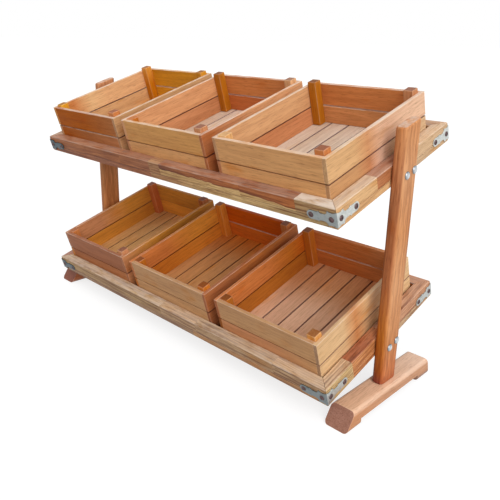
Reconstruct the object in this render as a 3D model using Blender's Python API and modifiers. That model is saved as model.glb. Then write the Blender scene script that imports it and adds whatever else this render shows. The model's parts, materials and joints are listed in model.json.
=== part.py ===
"""A basket display stand: six slatted crates in two sloping trays, bolted between two posts on feet.

Metres, +Z up, the front towards -Y, the floor at z = 0.
"""

import math

import bmesh
import bpy
from mathutils import Matrix

# Gap between two pieces that touch, and the distance within which points are one
FIT = 0.0003
WELD = 0.00002
# How far a shape reaches into the one it is joined to, and a cutter past the face it opens
OVERLAP = 0.004

# Trays: a base board with four mitred rails on it, low at the front
TRAY_LENGTH = 1.000
TRAY_DEPTH = 0.404
TRAY_TILT = math.radians(17.0)
BOARD_THICKNESS = 0.014
BOARD_CHAMFER = 0.0015
RAIL_WIDTH = 0.027
RAIL_HEIGHT = 0.028
RAIL_CHAMFER = 0.002
TIER_SPACING = 0.366
LOWER_TRAY_CLEARANCE = 0.0105
LOWER_TRAY_SETBACK = 0.013
UPPER_TRAY_SETBACK = 0.006

# Posts, outside the trays' ends, tenoned into the feet
POST_THICKNESS = 0.026
POST_DEPTH = 0.057
LEFT_POST_RISE = 0.128
RIGHT_POST_RISE = 0.117
POST_ROUNDING = 0.009
TENON_SHOULDER = 0.006
TENON_LENGTH = 0.018

# Feet, sloped at both ends, with rounded long edges, hollowed underneath between two pads
FOOT_LENGTH = 0.327
FOOT_WIDTH = 0.056
FOOT_HEIGHT = 0.040
FOOT_FORWARD = 0.0075
FOOT_FRONT_SLANT = 0.026
FOOT_BACK_SLANT = 0.010
FOOT_PAD_LENGTH = 0.050
FOOT_RELIEF = 0.015
FOOT_ROUNDING = 0.009

# Crates: two slats to each wall, corner posts inside, a slatted floor under the walls
CRATE_PLACES = ("left", "middle", "right")
CRATE_SPACING = 0.032
CRATE_END_CLEARANCE = 0.003
CRATE_BACK_CLEARANCE = 0.009
CRATE_HEIGHT = 0.107
SLAT_THICKNESS = 0.009
UPPER_SLAT_HEIGHT = 0.051
SLAT_GAP = 0.003
SLAT_EASING = 0.0004
TONGUE_THICKNESS = 0.002
CORNER_POST_SIZE = 0.022
CORNER_POST_RISE = 0.010
FRONT_LEFT_POST_RISE = 0.003
CORNER_POST_CHAMFER = 0.0025
FLOOR_THICKNESS = 0.010
FLOOR_SLATS = 6
FLOOR_GAP = 0.003
FLOOR_WEB = 0.003

# Corner braces: a scalloped steel strap bent round each tray corner, with round screw heads
BRACE_LEG = 0.066
BRACE_THICKNESS = 0.002
BRACE_HEIGHT = 0.0195
BRACE_CORNER_WIDTH = 0.0304
BRACE_SCALLOP_DEPTH = 0.0022
BRACE_CUSP_AT = 0.019
BRACE_CUSP_WIDTH = 0.0300
BRACE_WAIST_FROM = 0.027
BRACE_WAIST_TO = 0.034
BRACE_WAIST_WIDTH = 0.0145
BRACE_BARB_AT = 0.0385
BRACE_BARB_WIDTH = 0.0215
BRACE_BARB_END = 0.045
BRACE_TIP_WIDTH = 0.0180
BRACE_SCREW_SPOTS = (0.0105, 0.0565)
SCREW_HEAD_DIAMETER = 0.0105
SCREW_CROWN_DIAMETER = 0.006
SCREW_HEAD_HEIGHT = 0.0026

# Carriage bolts through each post and side rail, with a washer and nut sunk in the rail
BOLT_DIAMETER = 0.006
BOLT_HEAD_DIAMETER = 0.0165
BOLT_HEAD_HEIGHT = 0.0042
BOLT_SPACING = 0.027
BOLT_SETBACK = 0.003
BOLT_CLEARANCE = 0.0004
BOLT_EDGE_WOOD = 0.0004
BOLT_TIP = 0.001
WASHER_DIAMETER = 0.012
WASHER_THICKNESS = 0.0014
NUT_WIDTH = 0.010
NUT_HEIGHT = 0.005

# Numbers of facets
TURNED_STEPS = 12
SCREW_SIDES = 8
ARC_STEPS = 3
ROUNDING_STEPS = 3

# Sizes and places that follow from those above
MITRE_SHIFT = FIT / math.sqrt(2)
LOWER_TRAY_Z = FOOT_HEIGHT + LOWER_TRAY_CLEARANCE + TRAY_DEPTH / 2 * math.sin(TRAY_TILT)
UPPER_TRAY_Z = LOWER_TRAY_Z + TIER_SPACING
POST_X = TRAY_LENGTH / 2 + FIT + POST_THICKNESS / 2
POST_FOOT_Z = FOOT_HEIGHT + FIT
INNER_LENGTH = TRAY_LENGTH - 2 * RAIL_WIDTH
INNER_DEPTH = TRAY_DEPTH - 2 * RAIL_WIDTH
CRATES_PER_TRAY = len(CRATE_PLACES)
CRATE_ROW = INNER_LENGTH - 2 * CRATE_END_CLEARANCE
CRATE_WIDTH = (CRATE_ROW - (CRATES_PER_TRAY - 1) * CRATE_SPACING) / CRATES_PER_TRAY
CRATE_PITCH = CRATE_WIDTH + CRATE_SPACING
CRATE_DEPTH = INNER_DEPTH - CRATE_BACK_CLEARANCE - FIT
CRATE_Y = -TRAY_DEPTH / 2 + RAIL_WIDTH + FIT + CRATE_DEPTH / 2
CRATE_Z = BOARD_THICKNESS + FIT
WALL_Z = FLOOR_THICKNESS + FIT
WALL_HEIGHT = CRATE_HEIGHT - WALL_Z
LOWER_SLAT_HEIGHT = WALL_HEIGHT - UPPER_SLAT_HEIGHT - SLAT_GAP
GROOVE_DEPTH = (SLAT_THICKNESS - TONGUE_THICKNESS) / 2
END_WALL_LENGTH = CRATE_WIDTH - 2 * (SLAT_THICKNESS + FIT)
NUT_POCKET_RADIUS = max(WASHER_DIAMETER / 2, NUT_WIDTH / math.sqrt(3)) + BOLT_CLEARANCE
NUT_POCKET_DEPTH = FIT + WASHER_THICKNESS + NUT_HEIGHT + BOLT_TIP + FIT
BOLT_Z = BOARD_THICKNESS + FIT + NUT_POCKET_RADIUS + BOLT_EDGE_WOOD
BOLT_GRIP = FIT + POST_THICKNESS + FIT + RAIL_WIDTH - NUT_POCKET_DEPTH + FIT

# An outline drawn in XY and extruded along Z is turned to be drawn in YZ, or in XZ
DRAWN_IN_YZ = Matrix(((0, 0, 1, 0), (1, 0, 0, 0), (0, 1, 0, 0), (0, 0, 0, 1)))
DRAWN_IN_XZ = Matrix.Rotation(math.pi / 2, 4, "X")


def clear_scene():
    for old in list(bpy.data.objects):
        bpy.data.objects.remove(old)


def new_collection(name, parent):
    collection = bpy.data.collections.new(name)
    parent.children.link(collection)
    return collection


def new_material(name, colour, roughness, metallic=0.0):
    material = bpy.data.materials.new(name)
    material.use_nodes = True
    shader = material.node_tree.nodes["Principled BSDF"]
    shader.inputs["Base Color"].default_value = (*colour, 1.0)
    shader.inputs["Roughness"].default_value = roughness
    shader.inputs["Metallic"].default_value = metallic
    material.diffuse_color = (*colour, 1.0)
    return material


clear_scene()
PARTS = new_collection("basket_display_stand", bpy.context.scene.collection)
CUTTERS = new_collection("cutters", bpy.context.scene.collection)
BOLT_HOLES = {side: new_collection(f"{side}_bolt_holes", CUTTERS) for side in ("left", "right")}

FOOT_WOOD = new_material("foot_wood", (0.60, 0.30, 0.13), 0.6)
POST_WOOD = new_material("post_wood", (0.56, 0.27, 0.10), 0.55)
TRAY_WOOD = new_material("tray_wood", (0.54, 0.31, 0.14), 0.55)
BOARD_WOOD = new_material("board_wood", (0.50, 0.26, 0.10), 0.55)
CRATE_WOOD = {
    "upper": new_material("upper_crate_wood", (0.62, 0.36, 0.17), 0.6),
    "lower": new_material("lower_crate_wood", (0.50, 0.22, 0.07), 0.6),
}
CRATE_FLOOR_WOOD = new_material("crate_floor_wood", (0.55, 0.32, 0.18), 0.65)
GALVANISED_STEEL = new_material("galvanised_steel", (0.60, 0.62, 0.61), 0.4, 1.0)
ZINC_PLATE = new_material("zinc_plate", (0.78, 0.79, 0.78), 0.25, 1.0)


def new_empty(name, parent, location=(0, 0, 0), tilt=0.0):
    empty = bpy.data.objects.new(name, None)
    PARTS.objects.link(empty)
    empty.parent = parent
    empty.location = location
    empty.rotation_euler.x = tilt
    return empty


def new_part(name, mesh, material, parent, location=(0, 0, 0), turn=(0, 0, 0)):
    """A named piece of the stand, placed under its parent."""
    part = bpy.data.objects.new(name, mesh)
    if material.name not in mesh.materials:
        mesh.materials.append(material)
    part.material_slots[0].link = "OBJECT"
    part.material_slots[0].material = material
    PARTS.objects.link(part)
    part.parent = parent
    part.location = location
    part.rotation_euler = turn
    return part


def new_helper(name, mesh, collection=CUTTERS):
    """A shape that cuts a part or is joined to one, and isn't a part itself."""
    helper = bpy.data.objects.new(name, mesh)
    helper.hide_render = True
    helper.display_type = "WIRE"
    collection.objects.link(helper)
    return helper


def add_boolean(target, operation, helper):
    """A Boolean by one helper, or by all the helpers of a collection."""
    boolean = target.modifiers.new(helper.name, "BOOLEAN")
    boolean.operation = operation
    boolean.solver = "EXACT"
    if isinstance(helper, bpy.types.Collection):
        boolean.operand_type = "COLLECTION"
        boolean.collection = helper
    else:
        boolean.object = helper


def evaluated_mesh(source, helpers=()):
    """The source's mesh with its modifiers applied; the source and its helpers are spent."""
    bpy.context.view_layer.update()
    graph = bpy.context.evaluated_depsgraph_get()
    mesh = bpy.data.meshes.new_from_object(source.evaluated_get(graph))
    mesh.name = source.name
    for spent in (source, *helpers):
        bpy.data.objects.remove(spent)
    return mesh


def mesh_of(name, shape):
    mesh = bpy.data.meshes.new(name)
    shape.to_mesh(mesh)
    shape.free()
    return mesh


def box_shape(size, centre):
    shape = bmesh.new()
    bmesh.ops.create_cube(shape, size=1.0, matrix=Matrix.Translation(centre) @ Matrix.Diagonal((*size, 1.0)))
    return shape


def round_edges(shape, wanted, width, steps=1):
    """Rounds, or with one step chamfers, the edges whose two ends pass the test."""
    edges = [edge for edge in shape.edges if wanted(edge.verts[0].co, edge.verts[1].co)]
    bmesh.ops.bevel(shape, geom=edges, offset=width, segments=steps, profile=0.5, affect="EDGES")


def outline_shape(name, points, thickness, turned):
    """A flat outline with a thickness, even about its plane, as a closed shape."""
    curve = bpy.data.curves.new(name, "CURVE")
    curve.dimensions = "2D"
    curve.fill_mode = "BOTH"
    curve.extrude = thickness / 2
    spline = curve.splines.new("POLY")
    spline.points.add(len(points) - 1)
    for corner, (x, y) in zip(spline.points, points):
        corner.co = (x, y, 0, 1)
    spline.use_cyclic_u = True
    drawn = bpy.data.objects.new(name, curve)
    CUTTERS.objects.link(drawn)
    mesh = evaluated_mesh(drawn)
    shape = bmesh.new()
    shape.from_mesh(mesh)
    bpy.data.meshes.remove(mesh)
    bmesh.ops.remove_doubles(shape, verts=shape.verts, dist=WELD)
    bmesh.ops.recalc_face_normals(shape, faces=shape.faces)
    for facing in (-1, 1):
        cap = [face for face in shape.faces if face.normal.z * facing > 0.5]
        bmesh.ops.dissolve_faces(shape, faces=cap)
    bmesh.ops.transform(shape, matrix=turned, verts=shape.verts)
    return shape


def turned_helper(name, profile):
    """A profile of (radius, height) points, from the top of its axis to the bottom, turned about Z."""
    shape = bmesh.new()
    points = [shape.verts.new((radius, 0, height)) for radius, height in profile]
    for upper, lower in zip(points, points[1:]):
        shape.edges.new((upper, lower))
    helper = new_helper(name, mesh_of(name, shape))
    screw = helper.modifiers.new("turn", "SCREW")
    screw.steps = TURNED_STEPS
    screw.render_steps = TURNED_STEPS
    screw.use_merge_vertices = True
    screw.merge_threshold = WELD
    return helper


def arc(centre, radius, start, end, steps):
    """Points on an arc, from the start angle to the end angle in degrees."""
    turns = [math.radians(start + (end - start) * i / steps) for i in range(steps + 1)]
    return [(centre[0] + radius * math.cos(a), centre[1] + radius * math.sin(a)) for a in turns]


# Feet


def foot_mesh():
    """A foot with the middle of its post over its origin."""
    front = -FOOT_LENGTH / 2 - FOOT_FORWARD
    back = FOOT_LENGTH / 2 - FOOT_FORWARD
    outline = [
        (front, 0),
        (front + FOOT_PAD_LENGTH, 0),
        (front + FOOT_PAD_LENGTH, FOOT_RELIEF),
        (back - FOOT_PAD_LENGTH, FOOT_RELIEF),
        (back - FOOT_PAD_LENGTH, 0),
        (back, 0),
        (back - FOOT_BACK_SLANT, FOOT_HEIGHT),
        (front + FOOT_FRONT_SLANT, FOOT_HEIGHT),
    ]
    shape = outline_shape("foot", outline, FOOT_WIDTH, DRAWN_IN_YZ)

    def is_long_outer_edge(a, b):
        along = abs(a.x - b.x) < WELD and abs(a.z - b.z) < WELD
        return along and abs(a.z - FOOT_RELIEF) > WELD

    round_edges(shape, is_long_outer_edge, FOOT_ROUNDING, ROUNDING_STEPS)
    return mesh_of("foot", shape)


def tenon_shape(clearance, base_z, top_z):
    """The post's tenon, or with a clearance the mortise that takes it."""
    size = (
        POST_THICKNESS - 2 * TENON_SHOULDER + 2 * clearance,
        POST_DEPTH - 2 * TENON_SHOULDER + 2 * clearance,
        top_z - base_z,
    )
    return box_shape(size, (0, 0, (base_z + top_z) / 2))


def make_feet(stand):
    mesh = foot_mesh()
    mortise = mesh_of("mortise", tenon_shape(FIT, POST_FOOT_Z - TENON_LENGTH - FIT, FOOT_HEIGHT + OVERLAP))
    for side, sign in (("left", -1), ("right", 1)):
        foot = new_part(f"{side}_foot", mesh, FOOT_WOOD, stand, (sign * POST_X, 0, 0))
        cutter = new_helper(f"{side}_mortise", mortise)
        cutter.parent = foot
        add_boolean(foot, "DIFFERENCE", cutter)


# Posts


def post_mesh(name, rise):
    """A post that rises above the upper tray's underside, measured at the middle of its slanted top."""
    height = UPPER_TRAY_Z + rise - POST_FOOT_Z
    shape = box_shape((POST_THICKNESS, POST_DEPTH, height), (0, 0, POST_FOOT_Z + height / 2))
    for corner in shape.verts:
        if corner.co.z > POST_FOOT_Z + WELD:
            corner.co.z += corner.co.y * math.tan(TRAY_TILT)
    round_edges(shape, lambda a, b: abs(a.z - b.z) > height / 2, POST_ROUNDING, ROUNDING_STEPS)
    post = new_helper(name, mesh_of(name, shape))
    tenon = new_helper(
        "tenon", mesh_of("tenon", tenon_shape(0, POST_FOOT_Z - TENON_LENGTH, POST_FOOT_Z + OVERLAP))
    )
    add_boolean(post, "UNION", tenon)
    return evaluated_mesh(post, [tenon])


def make_posts(stand):
    for side, sign, rise in (("left", -1, LEFT_POST_RISE), ("right", 1, RIGHT_POST_RISE)):
        mesh = post_mesh(f"{side}_post", rise)
        post = new_part(f"{side}_post", mesh, POST_WOOD, stand, (sign * POST_X, 0, 0))
        add_boolean(post, "DIFFERENCE", BOLT_HOLES[side])


# Carriage bolts


def bolt_mesh():
    """A bolt along Z, its head's seat at z = 0, with its washer and nut."""
    shank = BOLT_DIAMETER / 2
    rim = BOLT_HEAD_DIAMETER / 2
    dome = (rim**2 + BOLT_HEAD_HEIGHT**2) / (2 * BOLT_HEAD_HEIGHT)
    edge = math.degrees(math.asin((dome - BOLT_HEAD_HEIGHT) / dome))
    crown = arc((0, BOLT_HEAD_HEIGHT - dome), dome, 90, edge, ARC_STEPS)
    washer_top = -BOLT_GRIP
    washer_end = washer_top - WASHER_THICKNESS
    tip = washer_end - NUT_HEIGHT - BOLT_TIP
    profile = [
        (0, BOLT_HEAD_HEIGHT),
        *crown[1:-1],
        (rim, 0),
        (shank, 0),
        (shank, washer_top),
        (WASHER_DIAMETER / 2, washer_top),
        (WASHER_DIAMETER / 2, washer_end),
        (shank, washer_end),
        (shank, tip),
        (0, tip),
    ]
    bolt = turned_helper("carriage_bolt", profile)
    shape = bmesh.new()
    bmesh.ops.create_cone(
        shape,
        cap_ends=True,
        segments=6,
        radius1=NUT_WIDTH / math.sqrt(3),
        radius2=NUT_WIDTH / math.sqrt(3),
        depth=NUT_HEIGHT + WASHER_THICKNESS / 2,
        matrix=Matrix.Translation((0, 0, washer_end - NUT_HEIGHT / 2 + WASHER_THICKNESS / 4)),
    )
    nut = new_helper("nut", mesh_of("nut", shape))
    add_boolean(bolt, "UNION", nut)
    mesh = evaluated_mesh(bolt, [nut])
    mesh.shade_smooth()
    mesh.set_sharp_from_angle(angle=math.radians(40))
    return mesh


def bolt_hole_mesh():
    """The hole through post and rail along Z from the bolt's seat, with the nut's pocket at its end."""
    hole = BOLT_DIAMETER / 2 + BOLT_CLEARANCE
    pocket = FIT - BOLT_GRIP
    end = pocket - NUT_POCKET_DEPTH - OVERLAP
    profile = [
        (0, OVERLAP),
        (hole, OVERLAP),
        (hole, pocket),
        (NUT_POCKET_RADIUS, pocket),
        (NUT_POCKET_RADIUS, end),
        (0, end),
    ]
    return evaluated_mesh(turned_helper("bolt_hole", profile))


# Corner braces


def brace_edge():
    """Half the outline of one leg, from the corner to the tip, as (distance from the corner, half width)."""
    points = []
    for i in range(ARC_STEPS + 1):
        share = i / (ARC_STEPS + 1)
        straight = BRACE_CORNER_WIDTH + (BRACE_CUSP_WIDTH - BRACE_CORNER_WIDTH) * share
        points.append((BRACE_CUSP_AT * share, straight / 2 - BRACE_SCALLOP_DEPTH * math.sin(math.pi * share)))
    points.append((BRACE_CUSP_AT, BRACE_CUSP_WIDTH / 2))
    reach = BRACE_WAIST_FROM - BRACE_CUSP_AT
    drop = (BRACE_CUSP_WIDTH - BRACE_WAIST_WIDTH) / 2
    for i in range(1, ARC_STEPS + 1):
        turn = math.pi / 2 * i / ARC_STEPS
        across = BRACE_CUSP_AT + reach * (1 - math.cos(turn))
        points.append((across, BRACE_CUSP_WIDTH / 2 - drop * math.sin(turn)))
    points.append((BRACE_WAIST_TO, BRACE_WAIST_WIDTH / 2))
    points.append((BRACE_BARB_AT, BRACE_BARB_WIDTH / 2))
    points.append((BRACE_BARB_END, BRACE_TIP_WIDTH / 2))
    tip = BRACE_TIP_WIDTH / 2
    points += arc((BRACE_LEG - tip, 0), tip, 90, 0, ARC_STEPS)
    return points


def brace_leg_helper(name):
    """One leg's plate in XZ, running from the corner towards -X on the face at y = 0."""
    edge = brace_edge()
    bend = FIT + BRACE_THICKNESS
    upper = [(bend, BRACE_CORNER_WIDTH / 2)] + [(-s, h) for s, h in edge]
    lower = [(x, -h) for x, h in reversed(upper[:-1])]
    shape = outline_shape(name, upper + lower, BRACE_THICKNESS, DRAWN_IN_XZ)
    bmesh.ops.translate(shape, vec=(0, -FIT - BRACE_THICKNESS / 2, 0), verts=shape.verts)
    for spot in BRACE_SCREW_SPOTS:
        place = Matrix.Translation((-spot, -bend - (SCREW_HEAD_HEIGHT - BRACE_THICKNESS / 2) / 2, 0))
        bmesh.ops.create_cone(
            shape,
            cap_ends=True,
            segments=SCREW_SIDES,
            radius1=SCREW_HEAD_DIAMETER / 2,
            radius2=SCREW_CROWN_DIAMETER / 2,
            depth=SCREW_HEAD_HEIGHT + BRACE_THICKNESS / 2,
            matrix=place @ Matrix.Rotation(math.pi / 2, 4, "X"),
        )
    return new_helper(name, mesh_of(name, shape))


def brace_mesh():
    """A brace for the front right corner, which is at the origin, with a leg along each face."""
    front = brace_leg_helper("brace")
    side = brace_leg_helper("brace_side_leg")
    side.data.transform(Matrix.Diagonal((-1, 1, 1, 1)))
    side.data.flip_normals()
    side.data.transform(Matrix.Rotation(math.pi / 2, 4, "Z"))
    joined = front.modifiers.new("own_shapes", "BOOLEAN")
    joined.operation = "UNION"
    joined.solver = "EXACT"
    joined.use_self = True
    joined.object = side
    return evaluated_mesh(front, [side])


# Trays


def board_mesh():
    shape = box_shape((TRAY_LENGTH, TRAY_DEPTH, BOARD_THICKNESS), (0, 0, BOARD_THICKNESS / 2))
    round_edges(shape, lambda a, b: max(a.z, b.z) < WELD, BOARD_CHAMFER)
    return mesh_of("board", shape)


def rail_mesh(name, length):
    """A rail along X with mitred ends, its outer face towards -Y at y = 0, its underside at z = 0."""
    outer = length / 2 - MITRE_SHIFT
    inner = outer - RAIL_WIDTH
    outline = [(-outer, 0), (outer, 0), (inner, RAIL_WIDTH), (-inner, RAIL_WIDTH)]
    shape = outline_shape(name, outline, RAIL_HEIGHT, Matrix.Translation((0, 0, RAIL_HEIGHT / 2)))
    top = RAIL_HEIGHT - WELD
    round_edges(
        shape, lambda a, b: min(a.z, b.z) > top and abs(a.y - b.y) < WELD, RAIL_CHAMFER
    )
    return mesh_of(name, shape)


def make_tray(name, stand, setback, height, meshes):
    """The tray's pieces and its empty, which lies at mid-depth on the underside."""
    tray = new_empty(f"{name}_tray", stand, (0, setback, height), TRAY_TILT)
    new_part(f"{name}_tray_base_board", meshes["board"], BOARD_WOOD, tray)
    rail_z = BOARD_THICKNESS + FIT
    half_length = TRAY_LENGTH / 2
    half_depth = TRAY_DEPTH / 2
    rails = (
        ("front", "long_rail", (0, -half_depth, rail_z), 0),
        ("back", "long_rail", (0, half_depth, rail_z), math.pi),
        ("left", "short_rail", (-half_length, 0, rail_z), -math.pi / 2),
        ("right", "short_rail", (half_length, 0, rail_z), math.pi / 2),
    )
    for side, mesh, location, turn in rails:
        rail = new_part(f"{name}_tray_{side}_rail", meshes[mesh], TRAY_WOOD, tray, location, (0, 0, turn))
        if side in BOLT_HOLES:
            add_boolean(rail, "DIFFERENCE", BOLT_HOLES[side])
    corners = (
        ("front_right", half_length, -half_depth, 0),
        ("back_right", half_length, half_depth, math.pi / 2),
        ("back_left", -half_length, half_depth, math.pi),
        ("front_left", -half_length, -half_depth, -math.pi / 2),
    )
    for corner, x, y, turn in corners:
        place = (x, y, BRACE_HEIGHT)
        new_part(f"{name}_{corner}_brace", meshes["brace"], GALVANISED_STEEL, tray, place, (0, 0, turn))
    bolt_y = (BOLT_SETBACK - setback + BOLT_Z * math.sin(TRAY_TILT)) / math.cos(TRAY_TILT)
    seat = TRAY_LENGTH / 2 + FIT + POST_THICKNESS + FIT
    for side, sign in (("left", -1), ("right", 1)):
        for spot, shift in (("front", -BOLT_SPACING / 2), ("back", BOLT_SPACING / 2)):
            place = (sign * seat, bolt_y + shift, BOLT_Z)
            turn = (0, sign * math.pi / 2, 0)
            new_part(f"{name}_{side}_{spot}_bolt", meshes["bolt"], ZINC_PLATE, tray, place, turn)
            hole = new_helper(f"{name}_{side}_{spot}_bolt_hole", meshes["bolt_hole"], BOLT_HOLES[side])
            hole.parent = tray
            hole.location = place
            hole.rotation_euler = turn
    return tray


# Crates


def wall_outline():
    """A wall's section, (across, up): an upper and a lower slat with a tongue in the gap between them."""
    across = SLAT_THICKNESS
    lower = LOWER_SLAT_HEIGHT
    upper = LOWER_SLAT_HEIGHT + SLAT_GAP
    return [
        (0, 0),
        (across, 0),
        (across, lower),
        (across - GROOVE_DEPTH, lower + SLAT_EASING),
        (across - GROOVE_DEPTH, upper - SLAT_EASING),
        (across, upper),
        (across, WALL_HEIGHT),
        (0, WALL_HEIGHT),
        (0, upper),
        (GROOVE_DEPTH, upper - SLAT_EASING),
        (GROOVE_DEPTH, lower + SLAT_EASING),
        (0, lower),
    ]


def crate_end_mesh(name, left_rise, right_rise):
    """An end wall with its outer face at y = 0 and a corner post inside each end, its foot at z = 0."""
    wall = new_helper(
        name, mesh_of(name, outline_shape(name, wall_outline(), END_WALL_LENGTH, DRAWN_IN_YZ))
    )
    buried = SLAT_THICKNESS / 2
    post_x = END_WALL_LENGTH / 2 - CORNER_POST_SIZE / 2 - FIT
    posts = []
    for sign, rise in ((-1, left_rise), (1, right_rise)):
        height = WALL_HEIGHT + rise - FIT
        shape = box_shape(
            (CORNER_POST_SIZE, CORNER_POST_SIZE + buried, height),
            (sign * post_x, SLAT_THICKNESS + (CORNER_POST_SIZE - buried) / 2, FIT + height / 2),
        )
        round_edges(shape, lambda a, b: min(a.z, b.z) > WALL_HEIGHT, CORNER_POST_CHAMFER)
        posts.append(new_helper("crate_corner_post", mesh_of("crate_corner_post", shape)))
        add_boolean(wall, "UNION", posts[-1])
    return evaluated_mesh(wall, posts)


def crate_side_mesh():
    shape = outline_shape("crate_side", wall_outline(), CRATE_DEPTH, DRAWN_IN_XZ)
    return mesh_of("crate_side", shape)


def crate_floor_mesh():
    """The floor slats, side by side under the walls, held together below the gaps."""
    half = CRATE_WIDTH / 2
    outline = [(-half, 0), (half, 0), (half, FLOOR_THICKNESS)]
    for i in range(FLOOR_SLATS - 1, 0, -1):
        middle = -half + CRATE_WIDTH * i / FLOOR_SLATS
        outline += [
            (middle + FLOOR_GAP / 2, FLOOR_THICKNESS),
            (middle + FLOOR_GAP / 2, FLOOR_WEB),
            (middle - FLOOR_GAP / 2, FLOOR_WEB),
            (middle - FLOOR_GAP / 2, FLOOR_THICKNESS),
        ]
    outline.append((-half, FLOOR_THICKNESS))
    shape = outline_shape("crate_floor", outline, CRATE_DEPTH, DRAWN_IN_XZ)
    return mesh_of("crate_floor", shape)


def make_crate(name, tier, tray, x, meshes):
    """A crate and its empty, which lies at the middle of its underside, on the line it lifts along."""
    crate = new_empty(f"{name}_crate", tray, (x, CRATE_Y, CRATE_Z))
    wood = CRATE_WOOD[tier]
    half_width = CRATE_WIDTH / 2
    half_depth = CRATE_DEPTH / 2
    new_part(f"{name}_crate_floor", meshes["crate_floor"], CRATE_FLOOR_WOOD, crate)
    front = (0, -half_depth, WALL_Z)
    new_part(f"{name}_crate_front", meshes["crate_front"], wood, crate, front)
    back = (0, half_depth, WALL_Z)
    new_part(f"{name}_crate_back", meshes["crate_back"], wood, crate, back, (0, 0, math.pi))
    new_part(f"{name}_crate_left_side", meshes["crate_side"], wood, crate, (-half_width, 0, WALL_Z))
    right = half_width - SLAT_THICKNESS
    new_part(f"{name}_crate_right_side", meshes["crate_side"], wood, crate, (right, 0, WALL_Z))


def centre_on_origin(stand):
    """Moves the stand so that the middle of its depth is over the origin."""
    bpy.context.view_layer.update()
    graph = bpy.context.evaluated_depsgraph_get()
    depths = []
    for part in PARTS.objects:
        if part.type == "MESH":
            seen = part.evaluated_get(graph)
            depths += [(seen.matrix_world @ corner.co).y for corner in seen.data.vertices]
    stand.location.y = -(min(depths) + max(depths)) / 2


def main():
    stand = new_empty("stand", None)
    make_feet(stand)
    make_posts(stand)
    meshes = {
        "board": board_mesh(),
        "long_rail": rail_mesh("long_rail", TRAY_LENGTH),
        "short_rail": rail_mesh("short_rail", TRAY_DEPTH),
        "brace": brace_mesh(),
        "bolt": bolt_mesh(),
        "bolt_hole": bolt_hole_mesh(),
        "crate_floor": crate_floor_mesh(),
        "crate_front": crate_end_mesh("crate_front", FRONT_LEFT_POST_RISE, CORNER_POST_RISE),
        "crate_back": crate_end_mesh("crate_back", CORNER_POST_RISE, CORNER_POST_RISE),
        "crate_side": crate_side_mesh(),
    }
    tiers = (
        ("lower", LOWER_TRAY_SETBACK, LOWER_TRAY_Z),
        ("upper", UPPER_TRAY_SETBACK, UPPER_TRAY_Z),
    )
    for tier, setback, height in tiers:
        tray = make_tray(tier, stand, setback, height, meshes)
        for i, place in enumerate(CRATE_PLACES):
            x = (i - (CRATES_PER_TRAY - 1) / 2) * CRATE_PITCH
            make_crate(f"{tier}_{place}", tier, tray, x, meshes)
    centre_on_origin(stand)


main()
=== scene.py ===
# %% [markdown]
# # A basket display stand
#
# This stand is a piece of shop furniture: two sloping trays, one above the other, bolted between two
# posts on sled feet, with three loose slatted crates in each tray. The solids of the stand come in first
# and stay where they are. Each step below then makes one group of pieces as the maker would see it,
# slat by slat and stave by stave, and sets it where its solid is.

# %% Load the frame
import json
import math
import random
from collections import namedtuple

import bmesh
import bpy
from mathutils import Matrix, Vector

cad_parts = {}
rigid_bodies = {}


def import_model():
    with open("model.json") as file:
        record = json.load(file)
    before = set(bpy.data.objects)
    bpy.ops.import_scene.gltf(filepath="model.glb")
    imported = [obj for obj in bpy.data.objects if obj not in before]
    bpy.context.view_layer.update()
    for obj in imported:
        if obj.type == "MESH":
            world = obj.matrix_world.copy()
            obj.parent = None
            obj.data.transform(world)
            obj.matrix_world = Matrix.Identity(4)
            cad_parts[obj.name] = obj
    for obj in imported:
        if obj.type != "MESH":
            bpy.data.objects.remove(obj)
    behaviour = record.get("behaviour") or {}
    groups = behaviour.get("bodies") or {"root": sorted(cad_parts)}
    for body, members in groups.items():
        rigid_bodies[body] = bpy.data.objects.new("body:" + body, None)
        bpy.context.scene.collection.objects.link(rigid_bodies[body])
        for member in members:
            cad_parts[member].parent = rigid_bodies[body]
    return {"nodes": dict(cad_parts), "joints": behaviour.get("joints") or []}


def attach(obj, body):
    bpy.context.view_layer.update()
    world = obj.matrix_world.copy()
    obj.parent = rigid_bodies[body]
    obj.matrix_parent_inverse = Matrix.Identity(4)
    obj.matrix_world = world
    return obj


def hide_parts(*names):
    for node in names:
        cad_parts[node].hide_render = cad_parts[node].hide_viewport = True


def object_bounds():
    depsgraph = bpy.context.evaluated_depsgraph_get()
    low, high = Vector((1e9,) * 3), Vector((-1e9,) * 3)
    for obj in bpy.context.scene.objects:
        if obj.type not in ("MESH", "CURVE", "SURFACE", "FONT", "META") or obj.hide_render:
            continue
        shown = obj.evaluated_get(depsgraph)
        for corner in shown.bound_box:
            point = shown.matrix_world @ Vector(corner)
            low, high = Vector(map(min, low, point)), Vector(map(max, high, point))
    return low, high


for old in list(bpy.data.objects):
    bpy.data.objects.remove(old)
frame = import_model()
CAD_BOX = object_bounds()
SCENE = bpy.context.scene
DRAW = random.Random(11)

# %% [markdown]
# ## The sloping axes
#
# Trays and crates are square to each other but lean forward. Their pieces are easier to make along the
# trays' own axes, so every size below is measured there, and one turned matrix sets the pieces back into
# the room. A crate lifts square to its tray, so the joint's axis gives the lean.

# %% Sloping axes
LIFT_AXIS = Vector(frame["joints"][0]["axis"])
LEAN = math.atan2(-LIFT_AXIS.y, LIFT_AXIS.z)
SLOPE = Matrix.Rotation(LEAN, 4, "X")
UPRIGHT = Matrix.Identity(4)


def box_along(node, axes=SLOPE):
    """A solid's lowest and highest corner, measured along the given axes."""
    turn = axes.inverted()
    points = [turn @ corner.co for corner in frame["nodes"][node].data.vertices]
    low = Vector(min(point[i] for point in points) for i in range(3))
    high = Vector(max(point[i] for point in points) for i in range(3))
    return low, high


print(f"the trays lean by {math.degrees(LEAN):.1f} degrees")

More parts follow.
